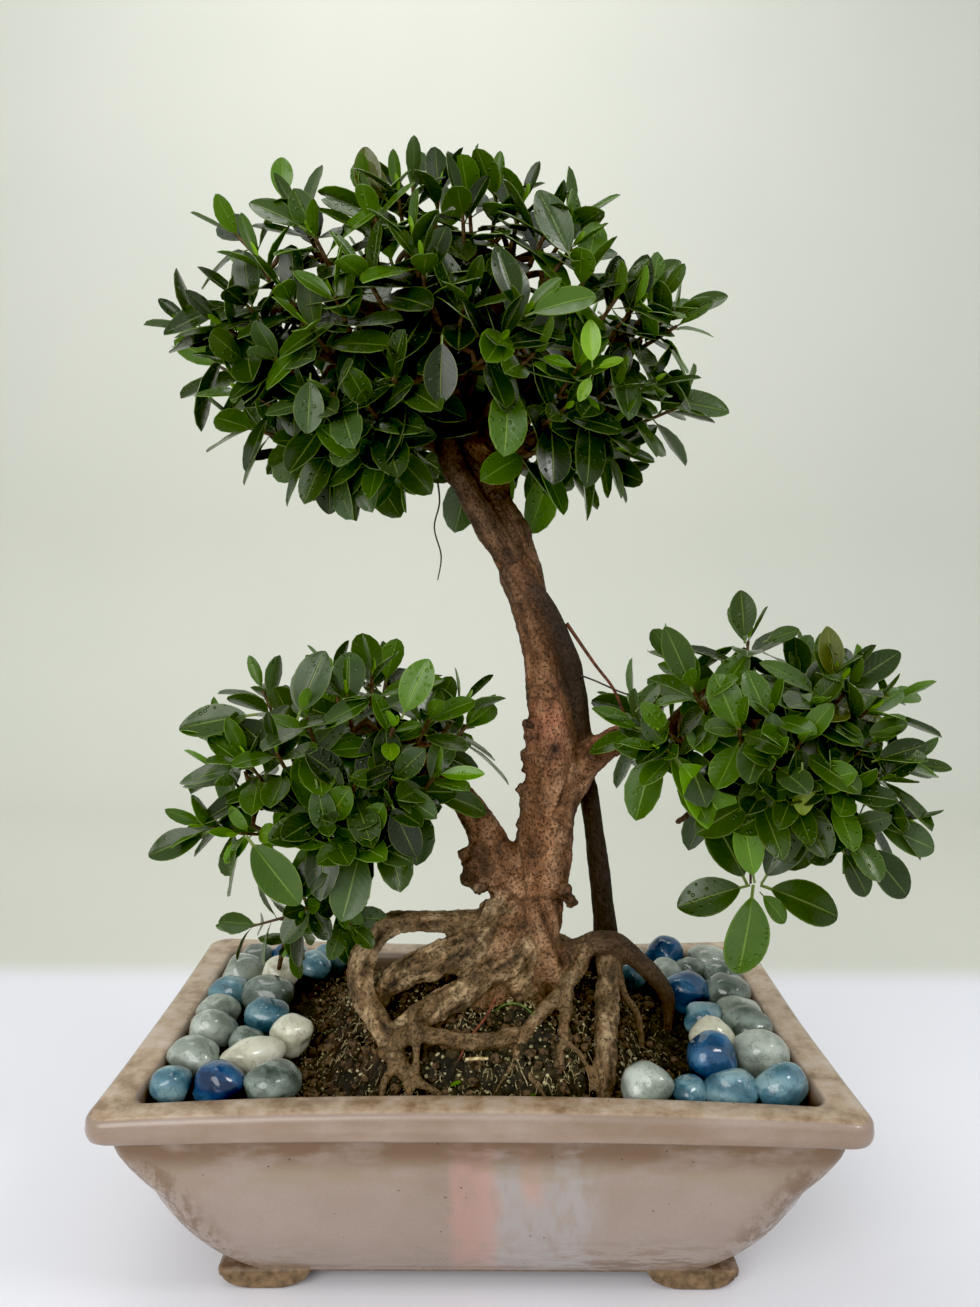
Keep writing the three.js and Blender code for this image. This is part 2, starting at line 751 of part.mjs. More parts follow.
function boxesMeet(a, b) {
  const boxA = a.boundingBox();
  const boxB = b.boundingBox();
  return [0, 1, 2].every(
    (k) => boxA.min[k] < boxB.max[k] && boxB.min[k] < boxA.max[k],
  );
}

const touches = (piece, others) =>
  others.some((o) => boxesMeet(piece, o) && piece.intersect(o).volume() > 1e-6);

// One spray: twigs from the hub to each cluster, with every leaf that clears the rest.
function spraySolid(name, spray, others) {
  const hub = v3(...spray.hub);
  const centre = padCentres[name.split("_")[0]];
  let whole = null;
  spray.shoots.forEach((shoot, index) => {
    const tip = v3(...shoot);
    const axis = tip.clone().sub(centre).normalize();
    axis.z += upwardPull;
    axis.normalize();
    const before = tip.clone().addScaledVector(axis, -16);
    const twigRoute = [hub, hub.clone().lerp(before, 0.55), before, tip].map((p, i) => [
      ...p.toArray(),
      shootRadius * (1.5 - 0.17 * i),
    ]);
    const twig = limb(twigRoute, 3, 3);
    if (touches(limb(twigRoute, 3, 3, gap), others)) return;
    whole = whole ? whole.add(twig) : twig;
    const phase = index * 2.1 + hub.x;
    const wide = shootLeaves(tip, axis, phase, gap * 2);
    shootLeaves(tip, axis, phase, 0).forEach((blade, i) => {
      if (!touches(wide[i], others)) whole = whole.add(blade);
    });
  });
  return whole;
}

// ---- assembly ----
addPiece("pot", geometryOf(potSolid()), glaze);

const screenCutters = [];
for (const [name, side] of [["left", -1], ["right", 1]]) {
  addPiece("drain_screen_" + name, drainScreen(side * drainOffset), plastic);
  const room = screenSize + 2 * gap;
  const cutter = new THREE.BoxGeometry(room, room, 2 * (screenThickness + 3 * gap));
  cutter.translate(side * drainOffset, 0, floorTop);
  screenCutters.push(solidOf(cutter));
}

const wood = woodSolid(0);
const woodCutter = woodSolid(gap);
addPiece("tree_wood", geometryOf(wood), bark);
addPiece("soil", geometryOf(soilSolid(woodCutter, screenCutters)), earth);

const stones = [];
for (const [side, rows] of Object.entries(pebbleRows)) {
  rows.forEach(([x, y, z, width, depth, height, turn, colour], index) => {
    stones.push({
      name: `pebble_${side}_${String(index + 1).padStart(2, "0")}`,
      at: v3(x, y, z),
      half: v3(width, depth, height).divideScalar(2),
      turn: THREE.MathUtils.degToRad(turn),
      colour,
    });
  });
}
settle(stones);
for (const stone of stones) {
  addPiece(stone.name, pebble(stone), finish(stoneColours[stone.colour], 0.2));
}

const grown = [woodCutter, ...stones.map((stone) => solidOf(pebble(stone)))];
for (const [name, spray] of Object.entries(sprays)) {
  const others = grown.slice(1);
  const whole = spraySolid(name, spray, others).subtract(woodCutter);
  const bodies = whole.decompose();
  const largest = bodies.reduce((a, b) => (a.volume() > b.volume() ? a : b));
  addPiece(name, geometryOf(largest), greenLeaf);
  grown.push(largest);
}

// The frame's origin is the bottom centre of the whole object's box.
const wholeBox = new THREE.Box3().setFromObject(group);
const middle = wholeBox.getCenter(v3());
group.position.set(-middle.x, -middle.y, -wholeBox.min.z);

export default group;
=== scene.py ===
# A potted fig bonsai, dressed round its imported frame. Sizes are millimetres from the pot's centre.
import math
import random

import bmesh
import bpy
from mathutils import Matrix, Vector, noise
from mathutils.kdtree import KDTree


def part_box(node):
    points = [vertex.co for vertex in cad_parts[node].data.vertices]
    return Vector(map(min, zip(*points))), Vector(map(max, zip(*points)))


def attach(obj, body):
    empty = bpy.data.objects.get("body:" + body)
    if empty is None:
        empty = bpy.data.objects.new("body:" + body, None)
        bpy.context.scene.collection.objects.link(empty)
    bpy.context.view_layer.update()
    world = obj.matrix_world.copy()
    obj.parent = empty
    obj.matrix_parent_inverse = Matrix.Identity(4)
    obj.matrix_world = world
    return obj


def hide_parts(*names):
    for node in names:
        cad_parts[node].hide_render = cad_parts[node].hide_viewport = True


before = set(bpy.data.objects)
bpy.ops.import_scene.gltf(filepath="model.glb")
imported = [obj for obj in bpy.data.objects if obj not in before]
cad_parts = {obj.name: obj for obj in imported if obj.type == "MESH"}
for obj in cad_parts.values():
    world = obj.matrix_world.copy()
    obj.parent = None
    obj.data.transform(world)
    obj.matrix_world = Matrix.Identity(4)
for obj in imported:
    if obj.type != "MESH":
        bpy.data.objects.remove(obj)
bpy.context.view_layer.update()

mm = 0.001
up = Vector((0, 0, 1))
potLow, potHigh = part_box("pot")
potCentre = Vector(((potLow.x + potHigh.x) / 2, (potLow.y + potHigh.y) / 2, 0))


def place(x, y, z):  # millimetres from the pot's centre to metres in the frame
    return Vector((x, y, z)) * mm + potCentre


def srgb(red, green, blue):  # a screen colour as the linear one that shaders take
    channels = [c / 255 for c in (red, green, blue)]
    linear = [c / 12.92 if c <= 0.04045 else ((c + 0.055) / 1.055) ** 2.4 for c in channels]
    return (*linear, 1.0)


def clamp(value, low=0.0, high=1.0):
    return max(low, min(high, value))


# The camera, and a floor that curves up into the wall behind it.
view = {"height": 402.7, "back": 590.2, "pitch": 0.0841, "yaw": 0.0064, "roll": 0.0082, "lens": 27.05,
        "sensor": 36}
studio = {"floorReach": 5000, "wallBack": 1500, "wallHeight": 3000, "wallWidth": 7000, "wallCurve": 500,
          "floorColour": (236, 236, 243), "wallColour": (216, 216, 205), "tableBack": 356,
          "sky": 0.66, "blackLevel": (0.008, 0.0085, 0.011)}
lamps = [  # name, place, aim, size, power and colour
    ("keyLight", (-650, -1350, 850), (0, 0, 250), 1200, 15, (1.0, 0.985, 0.95)),
    ("sideLight", (900, -700, 1300), (0, 0, 300), 400, 5, (1.0, 0.99, 0.97)),
    ("wallLight", (-200, 450, 1900), (-200, 1500, 600), 1200, 9, (1.0, 1.0, 0.97)),
]


def makeCamera():
    pitch, yaw, roll = view["pitch"], view["yaw"], view["roll"]
    ahead = Vector((math.sin(yaw) * math.cos(pitch), math.cos(yaw) * math.cos(pitch), -math.sin(pitch)))
    level = Vector((math.cos(yaw), -math.sin(yaw), 0))
    top = level.cross(ahead)
    across = level * math.cos(roll) + top * math.sin(roll)
    upright = top * math.cos(roll) - level * math.sin(roll)
    data = bpy.data.cameras.new("camera")
    data.lens = view["lens"]
    data.sensor_width = view["sensor"]
    camera = bpy.data.objects.new("camera", data)
    turn = Matrix((across, upright, -ahead)).transposed().to_4x4()
    camera.matrix_world = Matrix.Translation(place(0, -view["back"], view["height"])) @ turn
    bpy.context.scene.collection.objects.link(camera)
    bpy.context.scene.camera = camera


begun = {}  # the node tree of the material begun last, which the helpers below add to


def addNode(kind, inputs=None, **settings):
    tree = begun["tree"]
    node = tree.nodes.new("ShaderNode" + kind)
    for key, value in settings.items():
        setattr(node, key, value)
    for key, value in (inputs or {}).items():
        if isinstance(value, bpy.types.NodeSocket):
            tree.links.new(value, node.inputs[key])
        else:
            node.inputs[key].default_value = value
    return node


def mixColour(amount, first, second, blend="MIX"):
    node = addNode("Mix", {0: amount, 6: first, 7: second}, data_type="RGBA", blend_type=blend)
    return node.outputs[2]


def between(value, low, high, toLow=0.0, toHigh=1.0):  # a soft step from low to high
    inputs = {"Value": value, "From Min": low, "From Max": high, "To Min": toLow, "To Max": toHigh}
    return addNode("MapRange", inputs, interpolation_type="SMOOTHSTEP").outputs[0]


def maths(operation, first, second=0.0):
    return addNode("Math", {0: first, 1: second}, operation=operation).outputs[0]


def times(first, *others):
    for other in others:
        first = maths("MULTIPLY", first, other)
    return first


def plus(first, second):
    return maths("ADD", first, second)


def less(first, second):
    return maths("SUBTRACT", first, second)


def largest(first, *others):
    for other in others:
        first = maths("MAXIMUM", first, other)
    return first


def axesOf(vector):  # its x, y and z
    return addNode("SeparateXYZ", {0: vector}).outputs


def dot(first, second):
    return addNode("VectorMath", {0: first, 1: second}, operation="DOT_PRODUCT").outputs["Value"]


def attribute(name, output="Fac"):
    return addNode("Attribute", attribute_name=name).outputs[output]


def tinted(colour, red, green, blue):
    return mixColour(1.0, colour, (red, green, blue, 1), "MULTIPLY")


def grain(vector, scale, detail=3.0, stretch=(1, 1, 1), roughness=0.55):
    moved = addNode("Mapping", {"Vector": vector, "Scale": stretch}).outputs[0]
    inputs = {"Vector": moved, "Scale": scale, "Detail": detail, "Roughness": roughness}
    return addNode("TexNoise", inputs).outputs["Fac"]


def cells(vector, scale, feature="F1", output="Distance", stretch=(1, 1, 1), jitter=1.0):
    moved = addNode("Mapping", {"Vector": vector, "Scale": stretch}).outputs[0]
    inputs = {"Vector": moved, "Scale": scale, "Randomness": jitter}
    return addNode("TexVoronoi", inputs, feature=feature).outputs[output]


def ramp(value, *stops):  # stops are (place, colour) pairs
    node = addNode("ValToRGB", {"Fac": value})
    elements = node.color_ramp.elements
    while len(elements) < len(stops):
        elements.new(1.0)
    for element, (position, colour) in zip(elements, stops):
        element.position = position
        element.color = colour
    return node.outputs[0]


def raised(height, distance, under=None, strength=1.0):  # bump, distance in millimetres
    inputs = {"Height": height, "Distance": distance * mm, "Strength": strength}
    if under is not None:
        inputs["Normal"] = under
    return addNode("Bump", inputs).outputs[0]


def newMaterial(name, **sockets):
    material = bpy.data.materials.new(name)
    material.use_nodes = True
    begun["tree"] = material.node_tree
    shader = material.node_tree.nodes["Principled BSDF"]
    for key, value in sockets.items():
        shader.inputs[key.replace("_", " ")].default_value = value
    return material, shader


def potVector():  # object coordinates as millimetres from the pot's centre
    coordinates = addNode("TexCoord").outputs["Object"]
    inputs = {"Vector": coordinates, "Location": -potCentre / mm, "Scale": (1 / mm,) * 3}
    return addNode("Mapping", inputs).outputs[0]


def wear(shader, colour, roughness=None, normal=None):
    for name, socket in (("Base Color", colour), ("Roughness", roughness), ("Normal", normal)):
        if socket is not None:
            begun["tree"].links.new(socket, shader.inputs[name])


def link(name, mesh, material):
    piece = bpy.data.objects.new(name, mesh)
    bpy.context.scene.collection.objects.link(piece)
    mesh.materials.clear()
    mesh.materials.append(material)
    return piece


def written(name, bm):  # the bmesh as a new mesh
    mesh = bpy.data.meshes.new(name)
    bm.to_mesh(mesh)
    bm.free()
    return mesh


def meshFrom(name, bm, smooth=True):
    bmesh.ops.recalc_face_normals(bm, faces=bm.faces)
    for face in bm.faces:
        face.smooth = smooth
    return written(name, bm)


def vertsIn(grown):
    return [part for part in grown if isinstance(part, bmesh.types.BMVert)]


def edgesIn(grown):
    return [part for part in grown if isinstance(part, bmesh.types.BMEdge)]


def applied(piece, name):  # the piece's mesh with its modifiers, as a new mesh
    bpy.context.view_layer.update()
    graph = bpy.context.evaluated_depsgraph_get()
    mesh = bpy.data.meshes.new_from_object(piece.evaluated_get(graph))
    mesh.name = name
    return mesh


def cleaned(bm, fewest=60):  # without slivers and the loose specks that a boolean or a remesh leaves
    bmesh.ops.remove_doubles(bm, verts=bm.verts, dist=0.00002)
    bmesh.ops.dissolve_degenerate(bm, edges=bm.edges, dist=0.00002)
    left = set(bm.faces)
    while left:
        island, waiting = set(), [left.pop()]
        while waiting:
            face = waiting.pop()
            island.add(face)
            for side in face.edges:
                if len(side.link_faces) != 2:
                    continue
                fresh = [other for other in side.link_faces if other in left]
                left.difference_update(fresh)
                waiting.extend(fresh)
        if len(island) < fewest:
            bmesh.ops.delete(bm, geom=list(island), context="FACES")
    bmesh.ops.delete(bm, geom=[v for v in bm.verts if not v.link_faces], context="VERTS")


def ridesAs(piece, slot, *nodes):
    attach(piece, "root")
    if nodes:
        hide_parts(*nodes)
    return piece


def floorMaterial():
    material, shader = newMaterial("paleFloor", Roughness=0.75)
    vector = potVector()
    away = axesOf(vector)[1]
    far = between(away, studio["tableBack"] - 25, studio["tableBack"] + 45)
    mottle = grain(vector, 0.004, 2.0)
    wall = mixColour(mottle, srgb(*studio["wallColour"]), srgb(210, 211, 200))
    wear(shader, mixColour(far, srgb(*studio["floorColour"]), wall))
    return material


def makeStudio():
    bm = bmesh.new()
    near = -studio["floorReach"]
    edge = [bm.verts.new(place(x, near, 0)) for x in (-studio["wallWidth"] / 2, studio["wallWidth"] / 2)]
    edges = [bm.edges.new(edge)]
    back, curve = studio["wallBack"], studio["wallCurve"]
    steps = [(0, back - near - curve, 0)]
    for i in range(12):
        turn = math.radians(90 * (i + 0.5) / 12)
        stride = curve * math.pi / 24
        steps.append((0, stride * math.cos(turn), stride * math.sin(turn)))
    steps.append((0, 0, studio["wallHeight"]))
    for step in steps:
        grown = bmesh.ops.extrude_edge_only(bm, edges=edges)["geom"]
        edges = edgesIn(grown)
        bmesh.ops.translate(bm, verts=vertsIn(grown), vec=Vector(step) * mm)
    for face in bm.faces:
        face.normal_update()
    if next(iter(bm.faces)).normal.z < 0:
        bmesh.ops.reverse_faces(bm, faces=bm.faces)
    for face in bm.faces:
        face.smooth = True
    link("studioFloor", written("studioFloor", bm), floorMaterial())

    world = bpy.data.worlds.new("softSky")
    world.use_nodes = True
    world.node_tree.nodes["Background"].inputs["Color"].default_value = (0.93, 0.97, 1.0, 1)
    world.node_tree.nodes["Background"].inputs["Strength"].default_value = studio["sky"]
    bpy.context.scene.world = world
    look = bpy.context.scene.view_settings
    look.view_transform = "Standard"
    look.use_curve_mapping = True
    look.curve_mapping.black_level = studio["blackLevel"]


def addSoftLight(name, at, aim, size, power, colour):
    data = bpy.data.lights.new(name, "AREA")
    data.shape = "DISK"
    data.size = size * mm
    data.energy = power
    data.color = colour
    lamp = bpy.data.objects.new(name, data)
    lamp.location = place(*at)
    lamp.rotation_euler = (place(*aim) - place(*at)).to_track_quat("-Z", "Y").to_euler()
    bpy.context.scene.collection.objects.link(lamp)


makeCamera()
makeStudio()
for lamp in lamps:
    addSoftLight(*lamp)
print("camera and studio ready")


# The pot's walls, rim and feet; profiles are inset from the rim's outside and height.
potShape = {"width": 400, "depth": 248, "height": 129, "floor": 21, "longBow": 9, "shortBow": 2,
            "corner": 12, "bodyCorner": 24, "drainRadius": 9, "drainOffset": 78, "wallThickness": 13,
            "footLength": 54, "footPlate": 15, "footBevel": 2.2, "baseInset": 54, "unevenness": 0.5,
            "wall": ((54, 12), (23.5, 43.5), (9, 114))}
baseProfile = [(58, 9.5), (56.2, 9.7), (54.6, 10.6)]
lipProfile = [(7.5, 114.3), (4.6, 114.6), (2.3, 115.1), (0.8, 116.3), (0.1, 118.4), (-0.2, 121), (0.1, 123.6)]
rimTopProfile = [(8, 129), (12, 129), (15.4, 128.8)]
footProfile = [(1, 12), (2.6, 6), (5.4, 3), (9, 1.1), (13, 0.2), (16, 0), (27, 0), (31, 0.4), (36, 2),
               (41, 5.2), (45, 12)]


def wallAt(t):  # the wall's curve from its foot to just under the rim, as inset and height
    foot, bulge, top = (Vector(point) for point in potShape["wall"])
    return foot * (1 - t) ** 2 + bulge * 2 * t * (1 - t) + top * t ** 2


def outline(inset, height, facet=0.0, sideSteps=30, cornerSteps=8):
    points = []
    bowed = 0.45 * clamp((height - 12) / 102) + 0.55 * clamp((height - 114) / 10)  # most bowed at the rim
    radius = max(potShape["corner"] - inset * 0.2, 4)
    radius += (potShape["bodyCorner"] - radius) * facet
    for side in range(4):
        turn = Matrix.Rotation(side * math.pi / 2, 3, "Z")
        sizes = (potShape["width"] / 2 - inset, potShape["depth"] / 2 - inset)
        along, out = sizes if side % 2 == 0 else sizes[::-1]
        mostBow = bowed * (potShape["shortBow"] if side % 2 else potShape["longBow"])
        for i in range(sideSteps + 1):
            s = 2 * i / sideSteps - 1
            points.append(turn @ Vector((s * (along - radius), mostBow * (1 - s * s) - out, height)))
        for i in range(1, cornerSteps):
            a = i / cornerSteps * math.pi / 2
            rounded = Vector((math.sin(a), -math.cos(a)))
            chord = Vector((i / cornerSteps, i / cornerSteps - 1))
            bulged = rounded.lerp(chord, 0.45 * facet)
            x, y = along - radius + radius * bulged.x, radius - out + radius * bulged.y
            points.append(turn @ Vector((x, y, height)))
    return [place(*point) for point in points]


def loft(bm, rings):  # rings of equal count, each pulled up out of the one before
    verts = [bm.verts.new(point) for point in rings[0]]
    edges = [bm.edges.new((verts[i - 1], verts[i])) for i in range(len(verts))]
    bm.faces.new(verts)
    for ring in rings[1:]:
        grown = bmesh.ops.extrude_edge_only(bm, edges=edges)["geom"]
        fresh, edges = set(vertsIn(grown)), edgesIn(grown)
        verts = [next(e.other_vert(v) for e in v.link_edges if e.other_vert(v) in fresh) for v in verts]
        for vert, point in zip(verts, ring):
            vert.co = point
    bm.faces.new(verts)


def arc(centre, radius, start, end, steps):
    angles = [math.radians(start + (end - start) * i / steps) for i in range(steps + 1)]
    return [(centre[0] + radius * math.cos(a), centre[1] + radius * math.sin(a)) for a in angles]


def potProfile():  # inset, height and how far the corners are facetted, from the base over the rim
    height, thickness = potShape["height"], potShape["wallThickness"]
    profile = [(inset, z, 1) for inset, z in baseProfile]
    for i in range(25):
        inset, z = wallAt(i / 24)
        profile.append((inset, z, clamp((104 - z) / 30)))
    rim = lipProfile + arc((4.9, height - 4.9), 4.8, 170, 95, 5) + rimTopProfile
    rim += arc((16.6, height - 5.2), 4.9, 82, 5, 4) + [(22, height - 9)]
    for i in range(11, 0, -1):
        inset, z = wallAt(i / 12)
        if z > potShape["floor"] + 3:
            rim.append((22 if z > 96 else inset + thickness, z))
    rim.append((potShape["baseInset"] + 8, potShape["floor"]))
    return profile + [(inset, z, 0) for inset, z in rim]


def footPlate(bm, flip):
    length, plate = potShape["footLength"], potShape["footPlate"]
    inset = potShape["baseInset"] - 1
    corner = Vector((potShape["width"] / 2 - inset, potShape["depth"] / 2 - inset, 0))
    verts = [bm.verts.new((s * length / footProfile[-1][0], 0, z)) for s, z in footProfile]
    shape = bm.faces.new(verts)
    far = vertsIn(bmesh.ops.extrude_face_region(bm, geom=[shape])["geom"])
    bmesh.ops.translate(bm, verts=far, vec=(0, plate, 0))
    everything = verts + far
    if flip:
        swapped = Matrix(((0, 1, 0, 0), (1, 0, 0, 0), (0, 0, 1, 0), (0, 0, 0, 1)))
        bmesh.ops.transform(bm, matrix=swapped, verts=everything)
    bmesh.ops.translate(bm, verts=everything, vec=-corner)
    return everything


def feetMesh():
    bm = bmesh.new()
    for sideX in (-1, 1):
        for sideY in (-1, 1):
            for flip in (False, True):
                verts = footPlate(bm, flip)
                bmesh.ops.scale(bm, vec=(sideX, sideY, 1), verts=verts)
    bmesh.ops.recalc_face_normals(bm, faces=bm.faces)
    sharp = [e for e in bm.edges if e.calc_face_angle(0) > 1.2]
    bmesh.ops.bevel(bm, geom=sharp, offset=potShape["footBevel"], segments=3, profile=0.5, affect="EDGES",
                    material=-1)
    bmesh.ops.scale(bm, vec=(mm, mm, mm), verts=bm.verts)
    bmesh.ops.translate(bm, vec=potCentre, verts=bm.verts)
    return meshFrom("feet", bm)


def drainMesh():
    bm = bmesh.new()
    for side in (-1, 1):
        radius = potShape["drainRadius"] * mm
        hole = bmesh.ops.create_cone(bm, cap_ends=True, segments=40, radius1=radius, radius2=radius,
                                     depth=60 * mm)
        bmesh.ops.translate(bm, verts=hole["verts"], vec=place(side * potShape["drainOffset"], 0, 10))
    return meshFrom("drains", bm, smooth=False)


def glazeMaterial():
    material, shader = newMaterial("potGlaze", Roughness=0.3, Coat_Weight=0.25, Coat_Roughness=0.12)
    vector = potVector()
    x, y, z = axesOf(vector)
    cloud = grain(vector, 0.013, 3.0)
    body = ramp(cloud, (0.3, srgb(138, 120, 104)), (0.5, srgb(150, 131, 118)),
                (0.7, srgb(157, 140, 128)))
    fine = grain(vector, 0.5, 2.0)
    body = mixColour(between(fine, 0.35, 0.7, 0.0, 0.16), body, srgb(128, 108, 92))

    wobble = maths("MULTIPLY_ADD", grain(vector, 0.03, 2.0), 16.0)
    shifted = plus(x, less(wobble, 8.0))
    front = between(y, -60, -80)
    under = between(z, 114.5, 112.5)
    runs = grain(vector, 0.16, 2.0, stretch=(1, 1, 0.1))

    def band(low, high, soft):
        rise = between(shifted, low - soft, low + soft)
        fall = between(shifted, high + soft, high - soft)
        return times(rise, fall, front, under)

    blueGrey = times(band(6, 62, 10), between(runs, 0.3, 0.6, 0.35, 1.0))
    body = mixColour(blueGrey, body, srgb(160, 151, 146))
    pink = times(band(-15, 11, 3.5), between(runs, 0.25, 0.55, 0.4, 1.0))
    body = mixColour(times(pink, 0.55), body, srgb(184, 136, 124))
    short = times(band(24, 34, 3), between(z, 64, 80, 0.0, 0.6))
    body = mixColour(short, body, srgb(180, 140, 124))

    stain = grain(vector, 0.045, 4.0, stretch=(0.6, 0.6, 1.4))
    brushed = grain(vector, 0.09, 5.0, stretch=(0.5, 0.5, 2.2), roughness=0.7)
    corner = less(maths("ABSOLUTE", x), times(z, 0.47))
    outer = between(plus(corner, times(x, 0.35)), 20, 100, 0.25, 1.0)
    lowEdge = times(between(z, 56, 16), between(brushed, 0.47, 0.58), outer)
    hem = times(between(maths("ABSOLUTE", less(z, 16)), 1.4, 0.4), between(brushed, 0.4, 0.55, 0.2, 0.9))
    endOn = less(maths("ABSOLUTE", y), times(z, 0.47))
    atCorner = maths("MINIMUM", between(corner, 106, 124), between(endOn, 30, 48))
    streaks = grain(vector, 0.11, 5.0, stretch=(1.3, 1.3, 0.6), roughness=0.7)
    cornerDirt = times(atCorner, under, between(streaks, 0.4, 0.58))
    # A patchy darker band just under the rim lip: painted shade of the rim's overhang.
    shadeUnderRim = times(between(z, 90, 106), between(stain, 0.3, 0.56, 0.3, 1.0), under)
    olive = times(between(z, 74, 94), between(stain, 0.4, 0.6), under, 0.5)
    body = mixColour(olive, body, srgb(140, 124, 92))
    # Dirt at the corners, the lower wall and the hem, together with the painted shade under the rim, in one
    # brown.
    dirtAndShade = largest(*(times(share, amount) for share, amount in (
        (cornerDirt, 0.8), (lowEdge, 0.75), (shadeUnderRim, 0.95), (hem, 0.6))))
    body = mixColour(dirtAndShade, body, srgb(108, 80, 54))
    face = times(between(z, 113.5, 115), between(z, 127, 124))
    smudge = times(face, between(stain, 0.36, 0.62, 0.0, 0.6))
    body = mixColour(times(face, 0.35), body, srgb(132, 110, 92))
    body = mixColour(smudge, body, srgb(126, 102, 80))

    facing = addNode("NewGeometry").outputs["Normal"]
    flat = between(axesOf(facing)[2], 0.72, 0.97)
    onRim = times(flat, between(z, 122, 127))
    ochre = ramp(grain(vector, 0.05, 6.0, roughness=0.68), (0.36, srgb(136, 107, 76)),
                 (0.5, srgb(184, 158, 130)), (0.66, srgb(206, 188, 172)))
    body = mixColour(times(onRim, 0.85), body, ochre)

    level = addNode("VectorMath", {0: vector, 1: (1, 1, 0)}, operation="MULTIPLY").outputs[0]
    outward = dot(facing, level)
    isInner = times(between(outward, -5, -20), between(z, 60, 80))
    soiled = between(plus(z, times(stain, 30)), 142, 128)
    body = mixColour(times(isInner, soiled), body, srgb(96, 74, 56))

    dots = cells(vector, 0.12)
    chosen = between(cells(vector, 0.12, output="Color"), 0.55, 0.6)
    pits = times(between(dots, 0.075, 0.045), chosen)
    body = mixColour(times(pits, 0.85), body, srgb(66, 48, 38))

    bare = between(z, 11.9, 11.3)
    clay = ramp(grain(vector, 0.2, 4.0), (0.35, srgb(84, 64, 42)), (0.65, srgb(132, 106, 76)))
    body = mixColour(bare, body, clay)
    gloss = plus(between(cloud, 0.3, 0.7, 0.24, 0.36), times(dirtAndShade, 0.25))
    gloss = largest(gloss, times(bare, 0.85), times(isInner, 0.5))
    height = less(times(grain(vector, 0.05, 2.0), 0.8), pits)
    wear(shader, body, gloss, raised(height, 0.5))
    return material


def screenMaterial():
    material, shader = newMaterial("screenPlastic", Roughness=0.5)
    speck = grain(potVector(), 0.6, 3.0)
    wear(shader, ramp(speck, (0.3, srgb(34, 36, 34)), (0.7, srgb(58, 58, 54))),
         between(speck, 0.3, 0.7, 0.4, 0.65))
    return material


def makePot():
    bm = bmesh.new()
    loft(bm, [outline(inset, z, facet) for inset, z, facet in potProfile()])
    for vert in bm.verts:  # the unevenness of a pressed and hand-finished wall
        push = Vector((noise.noise(vert.co * 14), noise.noise(vert.co * 14 + up * 9), 0))
        vert.co += push * potShape["unevenness"] * mm
    body = link("pot_body", meshFrom("pot_body", bm), glazeMaterial())
    for name, mesh, operation in (("feet", feetMesh(), "UNION"), ("drains", drainMesh(), "DIFFERENCE")):
        cutter = link(name, mesh, body.data.materials[0])
        boolean = body.modifiers.new(name, "BOOLEAN")
        boolean.object = cutter
        boolean.operation = operation
        boolean.solver = "EXACT"
        boolean.use_self = operation == "UNION"
        body.data = applied(body, "pot_body")
        body.modifiers.clear()
        bpy.data.objects.remove(cutter)
    bm = bmesh.new()
    bm.from_mesh(body.data)
    cleaned(bm)
    bm.to_mesh(body.data)
    bm.free()
    body.data.set_sharp_from_angle(angle=math.radians(38))
    ridesAs(body, "pot_glaze", "pot")
    plastic = screenMaterial()
    for side in ("left", "right"):
        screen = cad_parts[f"drain_screen_{side}"]
        screen.data.materials.clear()
        screen.data.materials.append(plastic)


makePot()
print("pot ready")


# The soil lies level at the wall and is mounded round the roots.
soilShape = {"edge": 116, "mound": 38, "reachX": 99, "reachY": 84, "shoulder": 26, "bottom": 60,
             "halfLength": 176.5, "halfDepth": 100.5, "shortBow": 2, "longBow": 4.5, "narrowX": 0.86,
             "narrowY": 0.76, "clod": 4.8, "crumbs": 1500, "strands": 2600, "flecks": 2200}
dice = random.Random(7)


def clods(x, y):  # 0 in the gaps between clods, up to 1 on top of them
    coarse = noise.voronoi(Vector((x / 7, y / 7, 0)))[0]
    fine = noise.voronoi(Vector((x / 3.2, y / 3.2, 4)))[0]
    return 0.65 * clamp((coarse[1] - coarse[0]) * 1.7) + 0.35 * clamp((fine[1] - fine[0]) * 1.7)


def soilHeight(x, y):
    q = (abs(x) / soilShape["reachX"]) ** 3 + (abs(y) / soilShape["reachY"]) ** 3
    inside = max(0.0, 1 - q ** (1 / 3)) * soilShape["reachY"]
    rise = soilShape["mound"] * (1 - math.exp(-inside / soilShape["shoulder"]))
    spot = Vector((x, y, 0))
    lumps = noise.fractal(spot * 0.04, 1.0, 2.0, 3) * min(4.5, 0.6 + rise / 4)
    rough = noise.noise(spot * 0.16 + up * 3) * 1.6 + clods(x, y) * soilShape["clod"]
    return soilShape["edge"] + rise + lumps + rough - soilShape["clod"] / 2


def soilMaterial():
    material, shader = newMaterial("soil", Roughness=0.9)
    vector = potVector()
    clod = grain(vector, 0.09, 5.0, roughness=0.65)
    dark = ramp(clod, (0.38, srgb(14, 10, 5)), (0.5, srgb(34, 27, 15)), (0.66, srgb(66, 54, 32)))
    side = between(axesOf(vector)[0], -20, -70)
    reddish = ramp(clod, (0.38, srgb(16, 10, 5)), (0.66, srgb(66, 45, 29)))
    colour = mixColour(side, dark, reddish)
    flecks = between(grain(vector, 0.45, 4.0, roughness=0.78), 0.54, 0.62)
    patches = between(grain(vector, 0.03, 2.0), 0.38, 0.62, 0.2, 0.9)
    colour = mixColour(times(flecks, patches), colour, srgb(128, 116, 84))
    # Near-black where the clod-top height is low: painted shade in the hollows between clods.
    top = attribute("clodTopForShade")
    colour = mixColour(between(top, 0.42, 0.1, 0.0, 0.9), colour, srgb(3, 2, 1))
    height = plus(grain(vector, 0.35, 4.0), times(flecks, 0.3))
    wear(shader, colour, between(clod, 0.3, 0.7, 0.75, 0.98), raised(height, 1.6))
    return material


